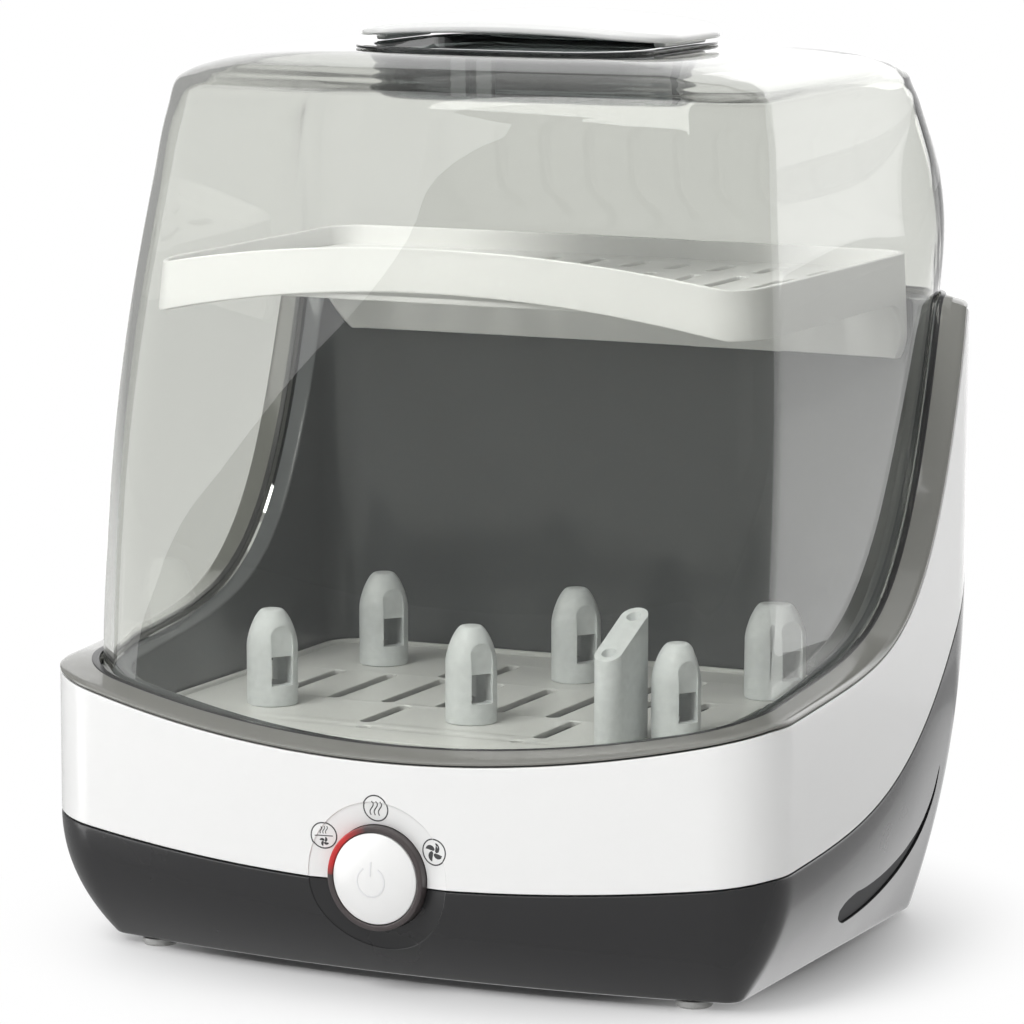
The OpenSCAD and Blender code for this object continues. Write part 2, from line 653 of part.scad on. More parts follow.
module air_filter() color([0.92, 0.93, 0.9]) difference() {
  translate([-filter_in_w / 2, pleat_y, filter_z - filter_in_h / 2])
      cube([filter_in_w, pleat_d, filter_in_h]);
  for (i = [0:pleat_count - 1])
    translate([-filter_in_w / 2 + 6 + (filter_in_w - 12) * (i + 0.5) / pleat_count, pleat_y, filter_z])
    linear_extrude(filter_in_h - 8, center = true) polygon([[-2, -cut], [2, -cut], [0, pleat_d - 2]]);
}
module filter_cover() color(charcoal) difference() {
  union() {
    translate([-filter_in_w / 2, filter_back_y - cover_t, filter_z - filter_in_h / 2])
        cube([filter_in_w, cover_t, filter_in_h]);
    translate([-12, filter_back_y - cover_t, filter_z + filter_in_h / 2 - 6]) cube([24, cover_t + 0.5, 3]);
  }
  for (i = [0:louvre_count - 1]) translate([0, filter_back_y - cover_t / 2,
      filter_z - filter_in_h / 2 + 6 + i * (filter_in_h - 18) / (louvre_count - 1)])
    rotate([30, 0, 0]) cube([filter_in_w - 16, 10, 2], center = true);
}
gland_flange_r = 10;
gland_y = rear_y - 14.5;
module cord_gland() color([0.15, 0.15, 0.15]) translate([gland_x, gland_y - 6, gland_z])
    rotate([-90, 0, 0]) difference() {
  union() {
    cylinder(r = gland_r, h = 14);
    cylinder(r = gland_flange_r, h = 2);
  }
  translate([0, 0, -cut]) cylinder(r = 3.6, h = 30);
}

// ---- Base plate, feet and screws ----
foot_xy = [[104.5, mid_y - 79], [104.5, mid_y + 80]];
foot_stem_r = 2.5;
vent_count = 6;
module bottom_pan() color(charcoal) difference() {
  translate([0, 0, foot_h]) linear_extrude(pan_t) polygon(hull_outline(pan_e));
  mirrored() for (p = boss_xy) translate([p[0], p[1], foot_h - cut]) {
    cylinder(r = screw_r + 0.4, h = pan_t + 2 * cut, $fn = 24);
    cylinder(r = 3.6, h = cut + 1.5, $fn = 32);
  }
  mirrored() for (p = foot_xy) translate([p[0], p[1], foot_h - cut])
      cylinder(r = foot_stem_r + 0.2, h = pan_t + 2 * cut, $fn = 32);
  for (i = [0:vent_count - 1]) translate([blower_xy[0], blower_xy[1] - 15 + i * 6, foot_h - cut])
      slot_plate(28, 2.6, pan_t + 2 * cut);
}
module rubber_feet() color(rubber_grey) mirrored() for (p = foot_xy) translate([p[0], p[1], 0]) {
  cylinder(r = foot_r - 0.6, h = 1, $fn = 48);
  translate([0, 0, 0.6]) cylinder(r = foot_r, h = foot_h - 0.8, $fn = 48);
  cylinder(r = foot_stem_r, h = foot_h + pan_t + 0.4, $fn = 32);
}
screw_len = 16;
module housing_screws() color(steel) mirrored() for (p = boss_xy) translate([p[0], p[1], foot_h + 0.1])
    difference() {
  union() {
    cylinder(r = 3.1, h = 1.3, $fn = 32);
    cylinder(r = screw_r - 0.1, h = screw_len, $fn = 24);
  }
  translate([0, 0, -cut]) cylinder(r = 1.2, h = cut + 0.8, $fn = 6);
}

// ---- Lid ----
lid_seat = flange_top + 0.7;
lid_top_plan = [
  edge_plan[0] - lid_lean_side, edge_plan[1] + lid_lean_front, edge_plan[2] - lid_lean_rear, 8, 3, 24, 20
];
// The top is narrower at the front, where the walls are taller, than at the rear
lid_taper = 0.035;
lid_centre = [0, (lid_top_plan[1] + lid_top_plan[2]) / 2];
lid_half_d = lid_top_plan[2] - lid_centre[1];
function lid_top_outline(t) =
  [for (p = outline(inset(lid_top_plan, t)))
      [p[0] * (1 + lid_taper * (p[1] - lid_centre[1]) / lid_half_d), p[1]]];
function shoulder_z(p) = lid_shoulder_z + lid_rear_rise * (1 + (p[1] - lid_centre[1]) / lid_half_d) / 2;
// A wall ring at share v of the way up, t inside the outer face
function lid_wall_ring(v, t) =
  let (s = t - lid_swell * sin(180 * v), top = lid_top_outline(s))
  mix_rings(rim_points(outline(inset(edge_plan, s)), lid_seat),
      ring(top, [for (p = top) shoulder_z(p)]), v);
lid_wall_steps = [0.16, 0.34, 0.54, 0.76, 0.92];
// The top: scale of the shoulder outline and share of the crown
lid_top_steps = [[0.985, 0.26], [0.955, 0.43], [0.9, 0.58], [0.82, 0.74]];
crown_z = lid_shoulder_z + lid_crown;
function lid_top_ring(s, c, t) =
  [for (p = scaled(lid_top_outline(t), lid_centre, s)) [p[0], p[1], mix(shoulder_z(p), crown_z, c) - t]];
dish_centre = [0, mid_y + 16];
dish_plan = [dish_half_w, dish_centre[1] - dish_half_d, dish_centre[1] + dish_half_d, 3, 3, 28, 28];
dish_rim_z = lid_shoulder_z + lid_crown * 0.94;
function dish_ring(e, z) = flat_ring(outline(inset(dish_plan, e)), z);
// Between the last ring of the top and the dish's mouth
function crown_ring(t) =
  [for (p = mix_rings(lid_top_ring(0.82, 0.74, t), dish_ring(0, dish_rim_z - t), 0.5)) p + [0, 0, 0.9]];
module lid_shell() color(clear_smoke) loft(concat(
  [lid_wall_ring(0, 0)],
  [for (v = lid_wall_steps) lid_wall_ring(v, 0)],
  [lid_wall_ring(1, 0)],
  [for (s = lid_top_steps) lid_top_ring(s[0], s[1], 0)],
  [crown_ring(0), dish_ring(0, dish_rim_z), dish_ring(0, dish_rim_z - lid_wall), crown_ring(lid_wall)],
  [for (i = [len(lid_top_steps) - 1:-1:0])
      lid_top_ring(lid_top_steps[i][0], lid_top_steps[i][1], lid_wall)],
  [for (i = [len(lid_wall_steps) - 1:-1:0]) lid_wall_ring(lid_wall_steps[i], lid_wall)],
  [lid_wall_ring(0, lid_wall)]
));

dish_t = 2;
dish_lip = 3.5;
dish_rim_t = 1.3;
dish_floor_z = dish_rim_z - dish_drop;
module finger_dish() color(smoke) loft_solid([
  dish_ring(14, dish_floor_z - dish_t), dish_ring(6, dish_floor_z - dish_t + 2),
      dish_ring(1.5, dish_floor_z + 6),
  dish_ring(fit_gap, dish_rim_z - 3), dish_ring(fit_gap, dish_rim_z + fit_gap),
      dish_ring(-dish_lip, dish_rim_z + fit_gap),
  dish_ring(-dish_lip + 0.6, dish_rim_z + dish_rim_t), dish_ring(dish_t + fit_gap, dish_rim_z + dish_rim_t),
  dish_ring(dish_t + 1.5, dish_floor_z + 6), dish_ring(dish_t + 6, dish_floor_z + 2),
      dish_ring(dish_t + 14, dish_floor_z)
]);

// The plate bridges the dish, stands on its rim at both ends and leaves a finger gap at front and rear
plate_centre_y = mid_y + 18;
handle_plan = [plate_half_w, plate_centre_y - plate_half_d, plate_centre_y + plate_half_d, 4, 4, 22, 22];
handle_z = dish_rim_z + 3.2;
handle_crown = 5;
handle_outline = outline(handle_plan);
function handle_ring(e, c, t) =
  [for (p = outline(inset(handle_plan, e)))
      [p[0], p[1], handle_z + t + handle_crown * c * (1 - pow(p[0] / plate_half_w, 2))]];
plate_foot_x = dish_half_w - 1.8;
plate_foot_w = 4.8;
module handle_plate() color(white) {
  loft_solid([
    flat_ring(scaled(handle_outline, [0, plate_centre_y], 0.1), handle_z + handle_crown * 0.6),
    handle_ring(4, 0.6, 0), handle_ring(0.8, 0.6, 0), handle_ring(0, 0.6, 0.8),
    handle_ring(0, 0.7, plate_t - 1.6), handle_ring(1.2, 0.8, plate_t - 0.5),
        handle_ring(5, 0.95, plate_t - 0.2),
    flat_ring(scaled(handle_outline, [0, plate_centre_y], 0.1), handle_z + handle_crown * 0.97 + plate_t)
  ]);
  mirrored() translate([plate_foot_x, plate_centre_y - 18, dish_rim_z + dish_rim_t + fit_gap])
    cube([plate_foot_w, 36, handle_z - dish_rim_z - dish_rim_t + 1.5]);
}
// Spring hooks on the dish's wall that catch under the lid's skin
hook_w = 6;
hook_t = 2.2;
hook_h = 8.5;
module spring_hook() translate([0, 0, dish_rim_z - lid_wall - 3 * fit_gap - hook_h]) rotate([90, 0, 0])
  linear_extrude(hook_w, center = true)
    polygon([[0, 0], [hook_t, 0], [hook_t + 1.6, hook_h - 2.6], [hook_t + 1.6, hook_h], [0, hook_h]]);
module handle_clips() color([0.2, 0.22, 0.22]) {
  for (x = [-5, 5]) translate([x, dish_plan[1] - fit_gap, 0]) rotate([0, 0, -90]) spring_hook();
  mirrored() translate([dish_half_w + fit_gap, dish_centre[1], 0]) spring_hook();
}

// ---- Upper tray ----
// Clearance from the lid's edge at the sides, the front and the rear
tray_plan = [half_w - lid_e - 11, front_y + lid_e + 28, rear_y - lid_e - 11.5, 8, 3, 17, 13];
tray_t = 2.2;
tray_draft = 1.2;
tray_floor_z = tray_top_z - 7;
tray_floor_t = 2.2;
tray_outline = outline(tray_plan);
function arch(p) = max(0, 1 - pow(p[0] / (tray_plan[0] - 8), 2)) * clamp01((mid_y - 10 - p[1]) / 50);
// The skirt at the rear reaches down to the rim
skirt_from_y = mid_y + 60;
skirt_drop = 22;
function skirt(p) = skirt_drop * pow(clamp01((p[1] - skirt_from_y) / 25), 2);
tray_tops = [for (p = tray_outline) tray_top_z + tray_arch * arch(p)];
tray_bottoms = [for (p = tray_outline) tray_top_z - tray_band_h + (tray_arch + 2) * arch(p) - skirt(p)];
function tray_ring(e, zs, d) = ring(outline(inset(tray_plan, e)), [for (z = zs) z + d]);
// The lip at the rear lies on the chamber's flange
tray_lip_z = rim_rear + flange_top + fit_gap;
tray_lip_w = 180;
module drain_row(count, length, pitch, z, h) for (i = [0:count - 1])
  translate([(i - (count - 1) / 2) * pitch, 0, z]) rotate([0, 0, 90]) slot_plate(length, drain_w, h);
module upper_tray() color(white) {
  loft([
    tray_ring(0, tray_bottoms, 0), tray_ring(tray_draft, tray_tops, -1),
        tray_ring(tray_draft + 0.7, tray_tops, 0),
    tray_ring(tray_draft + tray_t, tray_tops, 0), tray_ring(tray_t, tray_bottoms, 0)
  ]);
  difference() {
    translate([0, 0, tray_floor_z - tray_floor_t]) linear_extrude(tray_floor_t)
        polygon(outline(inset(tray_plan, tray_draft)));
    for (y = [-38, 18, 62]) translate([0, mid_y + y, 0])
      drain_row(11, y == 62 ? 22 : 44, 18, tray_floor_z - tray_floor_t - cut, tray_floor_t + 2 * cut);
  }
  translate([-tray_lip_w / 2, tray_plan[2] - 5, tray_lip_z]) cube([tray_lip_w, 11, 2.4]);
}

// ---- Bottle rack ----
rack_clear = 1.2;
rack_e = step_e + rack_clear;
rack_z = rack_step_z + fit_gap;
rack_top_z = rack_z + rack_t;
rack_lip = 1.6;
post_y = [mid_y - 38, mid_y - 38 + post_pitch_y];
accessory_xy = [63, mid_y - 48];
module bottle_rack() color(white) difference() {
  union() {
    plan_plate(rack_e, rack_z, rack_t);
    difference() {
      plan_plate(rack_e, rack_z, rack_t + rack_lip);
      plan_plate(rack_e + 2, rack_z - cut, rack_t + rack_lip + 2 * cut);
    }
  }
  translate([0, mid_y + 6, 0]) drain_row(9, 50, 22, rack_z - cut, rack_t + 2 * cut);
  mirrored() translate([post_pitch_x / 2, post_y[1], 0])
      drain_row(2, 34, 14, rack_z - cut, rack_t + 2 * cut);
  mirrored() translate([post_pitch_x / 2 - 6, post_y[0], 0])
      drain_row(1, 34, 14, rack_z - cut, rack_t + 2 * cut);
  mirrored() translate([post_pitch_x / 2 - 10, post_y[0] - 25, rack_z - cut])
      cylinder(r = drain_w / 2, h = rack_t + 2 * cut, $fn = 24);
}
post_tip_r = 3.4;
post_wall = 1.8;
// An arched pocket in each side and, in its lower part, a window through to the other side
post_turn = -35;
pocket_w = 8.6;
pocket_depth = 2;
pocket_low = 7.5;
pocket_high = 29;
window_high = 18;
// An ogive: straight side, then an arc that leans in to a small flat tip
ogive_h = 13;
function ogive(r, h, tip) = concat(
  [[0, 0], [r, 0]],
  [for (t = [0:15:75]) [tip + (r - tip) * cos(t), h - ogive_h + ogive_h * sin(t)]],
  [[tip, h], [0, h]]
);
module arched_pocket() translate([post_r - pocket_depth, 0, 0]) {
  translate([0, -pocket_w / 2, pocket_low])
      cube([post_r, pocket_w, pocket_high - pocket_w / 2 - pocket_low]);
  translate([0, 0, pocket_high - pocket_w / 2]) rotate([0, 90, 0])
      cylinder(d = pocket_w, h = post_r, $fn = 32);
}
module bottle_post() rotate([0, 0, post_turn]) difference() {
  rotate_extrude($fn = 48) polygon(ogive(post_r, post_h, post_tip_r));
  translate([0, 0, -cut]) rotate_extrude($fn = 48)
    polygon(ogive(post_r - pocket_depth - post_wall, post_h - post_wall + cut, post_tip_r - 1));
  for (t = [0, 180]) rotate([0, 0, t]) arched_pocket();
  translate([-post_r, -pocket_w / 2, pocket_low]) cube([2 * post_r, pocket_w, window_high - pocket_low]);
}
module bottle_posts() color(frosted) for (x = [-post_pitch_x, 0, post_pitch_x]) for (y = post_y)
  translate([x, y, rack_top_z + 0.1]) bottle_post();
accessory_t = 10;
accessory_pitch = 21;
accessory_h = 30.7;
accessory_rise = 14;
accessory_hole_r = 2.6;
module accessory_post() color(frosted) translate([accessory_xy[0], accessory_xy[1], rack_top_z + 0.1])
    difference() {
  rotate([0, 0, 90]) slot_plate(accessory_pitch + accessory_t, accessory_t, accessory_h + accessory_rise);
  for (s = [-1, 1]) translate([0, s * accessory_pitch / 2, 12])
      cylinder(r = accessory_hole_r, h = accessory_h + accessory_rise, $fn = 32);
  translate([-accessory_t, 0, accessory_h + accessory_rise / 2])
      rotate([atan(accessory_rise / (accessory_pitch + accessory_t)), 0, 0])
    translate([0, -accessory_pitch - accessory_t, 0])
        cube([2 * accessory_t, 2 * (accessory_pitch + accessory_t), 30]);
}

bottom_pan();
lower_housing();
body_shell();
rim_trim();
chamber_liner();
heating_plate();
plate_gasket();
heating_element();
thermostat();
blower_housing();
fan_motor();
fan_impeller();
air_heater();
outlet_grille();
control_board();
button_carrier();
light_ring();
power_button();
power_board();
board_standoffs();
filter_frame();
air_filter();
filter_cover();
cord_gland();
rubber_feet();
housing_screws();
lid_shell();
finger_dish();
handle_plate();
handle_clips();
upper_tray();
bottle_rack();
bottle_posts();
accessory_post();
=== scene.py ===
"""Bottle sterilizer and dryer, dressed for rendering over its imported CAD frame.

Sizes are in millimetres inside the classes and become metres where a mesh is made.
+Z is up, the front with its button faces -Y. Every surface is a numpy grid: rings
that follow the housing's plan outline, stacked along a profile.
"""
import json
import logging
import math
from dataclasses import dataclass, field
from enum import Enum
from typing import Callable, Sequence

import bpy
import numpy as np
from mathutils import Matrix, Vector

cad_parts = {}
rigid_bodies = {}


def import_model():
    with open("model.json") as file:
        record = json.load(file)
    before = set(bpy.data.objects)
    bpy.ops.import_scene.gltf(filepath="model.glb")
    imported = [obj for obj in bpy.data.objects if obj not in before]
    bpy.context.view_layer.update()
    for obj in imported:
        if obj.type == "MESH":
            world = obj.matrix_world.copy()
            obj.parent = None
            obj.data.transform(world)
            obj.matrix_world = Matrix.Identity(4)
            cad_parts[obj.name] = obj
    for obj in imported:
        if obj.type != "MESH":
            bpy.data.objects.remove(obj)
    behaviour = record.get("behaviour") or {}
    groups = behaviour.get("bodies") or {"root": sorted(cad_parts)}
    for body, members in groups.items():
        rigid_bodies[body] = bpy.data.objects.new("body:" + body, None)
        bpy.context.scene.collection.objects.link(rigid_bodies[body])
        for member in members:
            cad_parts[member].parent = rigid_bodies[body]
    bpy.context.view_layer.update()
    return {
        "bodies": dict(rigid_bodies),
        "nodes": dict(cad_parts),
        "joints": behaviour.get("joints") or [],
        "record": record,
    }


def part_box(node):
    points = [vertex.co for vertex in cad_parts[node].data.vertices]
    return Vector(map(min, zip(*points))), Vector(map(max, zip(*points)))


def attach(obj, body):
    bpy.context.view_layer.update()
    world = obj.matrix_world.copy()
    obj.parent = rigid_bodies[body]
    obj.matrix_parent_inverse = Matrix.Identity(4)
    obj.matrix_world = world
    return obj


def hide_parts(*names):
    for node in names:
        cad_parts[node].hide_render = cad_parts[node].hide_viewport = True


LOG = logging.getLogger("sterilizer")
MM = 0.001
# A colour Mix node's two colour inputs and its colour output
MIX_A, MIX_B, MIX_OUT = 6, 7, 2
Array = np.ndarray


class Body(Enum):
    """The frame's bodies that new pieces ride on."""

    BASE = "base"
    LID = "lid"
    TRAY = "tray"
    RACK = "rack"
    BUTTON = "button"


# ---------------------------------------------------------------- shape maths
def soft_min(a: Array, b: float, width: float) -> Array:
    """The smaller of a and b, with their meeting rounded over about width."""
    return 0.5 * (a + b - np.sqrt((a - b) ** 2 + width**2))


def soft_max(a: Array, b: float, width: float) -> Array:
    """The larger of a and b, with their meeting rounded over about width."""
    return 0.5 * (a + b + np.sqrt((a - b) ** 2 + width**2))


def rounded(corners: Sequence[Sequence[float]], radii: Sequence[float], steps: int = 5) -> Array:
    """Rounds the corners of an open profile.

    Each corner with a radius becomes a parabolic arc from that far before it to that
    far after it: (1-t)^2 a + 2 t (1-t) corner + t^2 b.

    Args:
        corners: The profile's corners, one row each, with any number of columns.
        radii: How far from each corner its arc starts, 0 for a sharp one.
        steps: Points along each arc.

    Returns:
        The rounded profile's points.
    """
    pts = np.asarray(corners, float)
    t = np.linspace(0.0, 1.0, steps)[:, None]
    out = [pts[:1]]
    for before, here, after, radius in zip(pts[:-2], pts[1:-1], pts[2:], radii[1:-1]):
        if radius <= 0:
            out.append(here[None])
            continue
        back, ahead = before - here, after - here
        a = here + back * min(0.49, radius / max(np.linalg.norm(back), 1e-9))
        b = here + ahead * min(0.49, radius / max(np.linalg.norm(ahead), 1e-9))
        out.append((1 - t) ** 2 * a + 2 * t * (1 - t) * here + t**2 * b)
    out.append(pts[-1:])
    return np.vstack(out)


def spline(rings: Array, steps: int) -> Array:
    """Carries a smooth curve through each point of a stack of rings.

    A Catmull-Rom curve: between rings 1 and 2 the point is the cubic whose end slopes
    are those from ring 0 to 2 and from ring 1 to 3, with the mean ring spacing as its
    parameter.

    Args:
        rings: Control rings, an array of rings by points by 3.
        steps: New rings for each control ring.

    Returns:
        The finer stack, which still passes through each control ring.
    """
    gaps = np.linalg.norm(np.diff(rings, axis=0), axis=2).mean(1)
    knots = np.r_[0.0, np.cumsum(gaps)]
    slopes = np.gradient(rings, knots, axis=0)
    t = np.linspace(0.0, 1.0, steps, endpoint=False)[None, :, None, None]
    a, b = rings[:-1, None], rings[1:, None]
    h = gaps[:, None, None, None]
    ma, mb = slopes[:-1, None] * h, slopes[1:, None] * h
    fine = ((2 * t**3 - 3 * t**2 + 1) * a + (t**3 - 2 * t**2 + t) * ma
            + (3 * t**2 - 2 * t**3) * b + (t**3 - t**2) * mb)
    return np.concatenate([fine.reshape(-1, *rings.shape[1:]), rings[-1:]])


@dataclass(frozen=True)
class Counts:
    """Points along half the front, a corner, a flank and half the rear of an outline."""

    front: int = 24
    corner: int = 14
    flank: int = 60
    rear: int = 12
    crowd: float = 1.25


@dataclass(frozen=True)
class Plan:
    """A rounded plan outline with a bowed front and rear."""

    half_w: float
    front: float
    rear: float
    bow_front: float
    bow_rear: float
    r_front: float
    r_rear: float

    def inset(self, e: float, share: float = 0.35) -> "Plan":
        """The outline e further in, its corners losing that share of e."""
        return Plan(self.half_w - e, self.front + e, self.rear - e, self.bow_front, self.bow_rear,
                    max(2.0, self.r_front - share * e), max(2.0, self.r_rear - share * e))

    def mixed(self, other: "Plan", v: float) -> "Plan":
        """The plan that is v of the way to another."""
        a, b = np.array(list(vars(self).values())), np.array(list(vars(other).values()))
        return Plan(*(a * (1 - v) + b * v))

    def corner(self, radius: float, bow: float) -> tuple[float, float]:
        """Where a corner's arc meets the bowed edge.

        The edge is a parabola that rises by bow at half_w. The arc touches it where
        both have the same slope b, at x = half_w - r + r sin b.

        Args:
            radius: The corner's radius.
            bow: The parabola's rise at half_w.

        Returns:
            x of the meeting point and the slope's angle there.
        """
        angle = 0.0
        for _ in range(6):
            x = self.half_w - radius + radius * math.sin(angle)
            angle = math.atan(2 * bow * x / self.half_w**2)
        return x, angle

    def outline(self, n: Counts) -> Array:
        """Points round the plan from the front's middle, right side first.

        Args:
            n: How many points each stretch gets.

        Returns:
            An array of points by 2, mirror-symmetric in x.
        """
        xf, bf = self.corner(self.r_front, self.bow_front)
        xr, br = self.corner(self.r_rear, self.bow_rear)
        yf = self.front + self.bow_front * (xf / self.half_w) ** 2 + self.r_front * math.cos(bf)
        yr = self.rear - self.bow_rear * (xr / self.half_w) ** 2 - self.r_rear * math.cos(br)
        x = np.linspace(0, xf, n.front + 1)
        front = np.c_[x, self.front + self.bow_front * (x / self.half_w) ** 2]
        t = np.linspace(-math.pi / 2 + bf, 0, n.corner + 1)[1:]
        first = np.c_[self.half_w - self.r_front + self.r_front * np.cos(t), yf + self.r_front * np.sin(t)]
        s = 1 - (1 - np.linspace(0, 1, n.flank + 1)[1:]) ** n.crowd
        flank = np.c_[np.full(n.flank, self.half_w), yf + (yr - yf) * s]
        t = np.linspace(0, math.pi / 2 - br, n.corner + 1)[1:]
        second = np.c_[self.half_w - self.r_rear + self.r_rear * np.cos(t), yr + self.r_rear * np.sin(t)]
        x = np.linspace(xr, 0, n.rear + 1)[1:]
        rear = np.c_[x, self.rear - self.bow_rear * (x / self.half_w) ** 2]
        half = np.vstack([front, first, flank, second, rear])
        return np.vstack([half, half[-2:0:-1] * [-1, 1]])


@dataclass(frozen=True)
class Sweep:
    """A height that rises along the flanks, sweeps up to the rear and dips at the front."""

    z_front: float
    z_flank: float
    z_rear: float
    rise: float
    power: float
    y_start: float
    y_end: float
    mid_y: float
    dip_half_w: float
    crest: float = 4.0
    start_ease: float = 0.03
    reach: float = 4.0

    def z(self, p: Array) -> Array:
        """Height over each point: a straight rise plus a power curve, less the front's dip."""
        t = soft_max((p[:, 1] - self.y_start) / (self.y_end - self.y_start), 0.0, self.start_ease)
        curve = self.z_flank + self.rise * t + (self.z_rear - self.z_flank - self.rise) * t**self.power
        dip = np.clip(1 - (p[:, 0] / self.dip_half_w) ** 2, 0, None)
        dip = dip * np.clip((self.mid_y - p[:, 1]) / (self.mid_y - self.y_start), 0, 1)
        return soft_min(curve, self.z_rear, self.crest) - (self.z_flank - self.z_front) * dip

    def ring(self, points: Array, d: float) -> Array:
        """Points raised onto the sweep and moved d square to it, by the slope to each side."""
        step = np.array([0.0, self.reach])
        angle = np.arctan((self.z(points + step) - self.z(points - step)) / (2 * self.reach))
        return np.c_[points[:, 0], points[:, 1] - d * np.sin(angle), self.z(points) + d * np.cos(angle)]


# ---------------------------------------------------------------- meshes
@dataclass
class Mesh:
    """Vertices in millimetres and faces, gathered from one or more closed skins."""

    verts: list[Array] = field(default_factory=list)
    faces: list[Array] = field(default_factory=list)
    count: int = 0

    def add(self, verts: Array, faces: Sequence[Array]) -> "Mesh":
        """Adds one closed skin, turned so that its faces point outwards.

        The sum over triangles of a . (b x c) is six times the enclosed volume, and
        its sign tells which way the faces point.

        Args:
            verts: Points by 3.
            faces: Arrays of quads and triangles.

        Returns:
            This mesh.
        """
        volume = 0.0
        for f in faces:
            for k in range(1, f.shape[1] - 1):
                a, b, c = verts[f[:, 0]], verts[f[:, k]], verts[f[:, k + 1]]
                volume += float(np.einsum("ij,ij->", a, np.cross(b, c)))
        for f in faces:
            self.faces.append((f[:, ::-1] if volume < 0 else f) + self.count)
        self.verts.append(verts)
        self.count += len(verts)
        return self

    def loft(self, rings: Array, closed: bool = True, ends: str = "flat") -> "Mesh":
        """Adds the skin through a stack of rings.

        Args:
            rings: Rings by points by 3.
            closed: True if the last ring joins the first, as on a hollow wall.
            ends: "flat" closes an open stack's ends by a centre point each, "rungs" by
                quads between the two sides of rings that mirror about their first point.

        Returns:
            This mesh.
        """
        m, n = rings.shape[:2]
        j, i = np.meshgrid(np.arange(m if closed else m - 1), np.arange(n), indexing="ij")
        k, i2 = (j + 1) % m, (i + 1) % n
        quads = np.stack([j * n + i, j * n + i2, k * n + i2, k * n + i], -1).reshape(-1, 4)
        verts = rings.reshape(-1, 3)
        faces = [quads]
        if not closed and ends == "flat":
            i = np.arange(n)
            low = np.stack([np.full(n, m * n), (i + 1) % n, i], -1)
            high = np.stack([np.full(n, m * n + 1), (m - 1) * n + i, (m - 1) * n + (i + 1) % n], -1)
            verts = np.vstack([verts, rings[0].mean(0), rings[-1].mean(0)])
            faces += [low, high]
        if not closed and ends == "rungs":
            i, half = np.arange(1, n // 2 - 1), n // 2
            rungs = np.stack([i, i + 1, n - i - 1, n - i], -1)
            tips = np.array([(0, 1, n - 1), (half - 1, half, half + 1)])
            last = (m - 1) * n
            faces += [rungs[:, ::-1], tips[:, ::-1], rungs + last, tips + last]
        return self.add(verts, faces)

    def revolve(self, profile: Array, n: int = 72, place: Callable[[Array], Array] | None = None) -> "Mesh":
        """Adds a turned skin: each profile point (r, h) goes round the axis.

        Args:
            profile: Rows of radius and height. A radius of 0 at both ends closes the
                skin there, otherwise the profile is a closed loop.
            n: Points round the axis.
            place: Moves the points from the axis +Z at the origin to their place.

        Returns:
            This mesh.
        """
        t = np.linspace(0, 2 * math.pi, n, endpoint=False)
        solid = profile[0, 0] < 1e-6
        body = profile[1:-1] if solid else profile
        rings = np.stack([np.outer(body[:, 0], np.cos(t)), np.outer(body[:, 0], np.sin(t)),
                          np.repeat(body[:, 1:2], n, 1)], -1)
        if place:
            rings = place(rings.reshape(-1, 3)).reshape(rings.shape)
        return self.loft(rings, closed=not solid)

    def make(self, name: str, sharp: float = 38.0) -> bpy.types.Object:
        """The Blender object, in metres, smooth but for edges sharper than an angle.

        Args:
            name: The object's name.
            sharp: The angle in degrees from which an edge stays sharp.

        Returns:
            The object, linked to the scene.
        """
        data = bpy.data.meshes.new(name)
        verts = np.vstack(self.verts) * MM
        flat = [f for f in self.faces if len(f)]
        sizes = np.concatenate([np.full(len(f), f.shape[1]) for f in flat])
        data.vertices.add(len(verts))
        data.vertices.foreach_set("co", verts.astype(np.float32).ravel())
        data.loops.add(int(sizes.sum()))
        data.loops.foreach_set("vertex_index", np.concatenate([f.ravel() for f in flat]).astype(np.int32))
        data.polygons.add(len(sizes))
        data.polygons.foreach_set("loop_start", np.r_[0, np.cumsum(sizes)[:-1]].astype(np.int32))
        data.update(calc_edges=True)
        data.validate()
        data.shade_smooth()
        data.set_sharp_from_angle(angle=math.radians(sharp))
        return shown(name, data)


def shown(name: str, data: bpy.types.ID) -> bpy.types.Object:
    """A new object with that data, linked to the scene."""
    obj = bpy.data.objects.new(name, data)
    bpy.context.scene.collection.objects.link(obj)
    return obj


def discard(obj: bpy.types.Object) -> None:
    """Removes a working mesh object together with its mesh."""
    data = obj.data
    bpy.data.objects.remove(obj)
    bpy.data.meshes.remove(data)


def evaluated(obj: bpy.types.Object) -> bpy.types.Mesh:
    """A new mesh of the object with its modifiers or its curve's bevel applied."""
    bpy.context.view_layer.update()
    return bpy.data.meshes.new_from_object(obj.evaluated_get(bpy.context.evaluated_depsgraph_get()))


def arrays(data: bpy.types.Mesh) -> tuple[Array, Array]:
    """A mesh's points and its triangles, three numbers a row."""
    verts = np.zeros(len(data.vertices) * 3)
    data.vertices.foreach_get("co", verts)
    data.calc_loop_triangles()
    tris = np.zeros(len(data.loop_triangles) * 3, np.int32)
    data.loop_triangles.foreach_get("vertices", tris)
    return verts.reshape(-1, 3), tris.reshape(-1, 3)


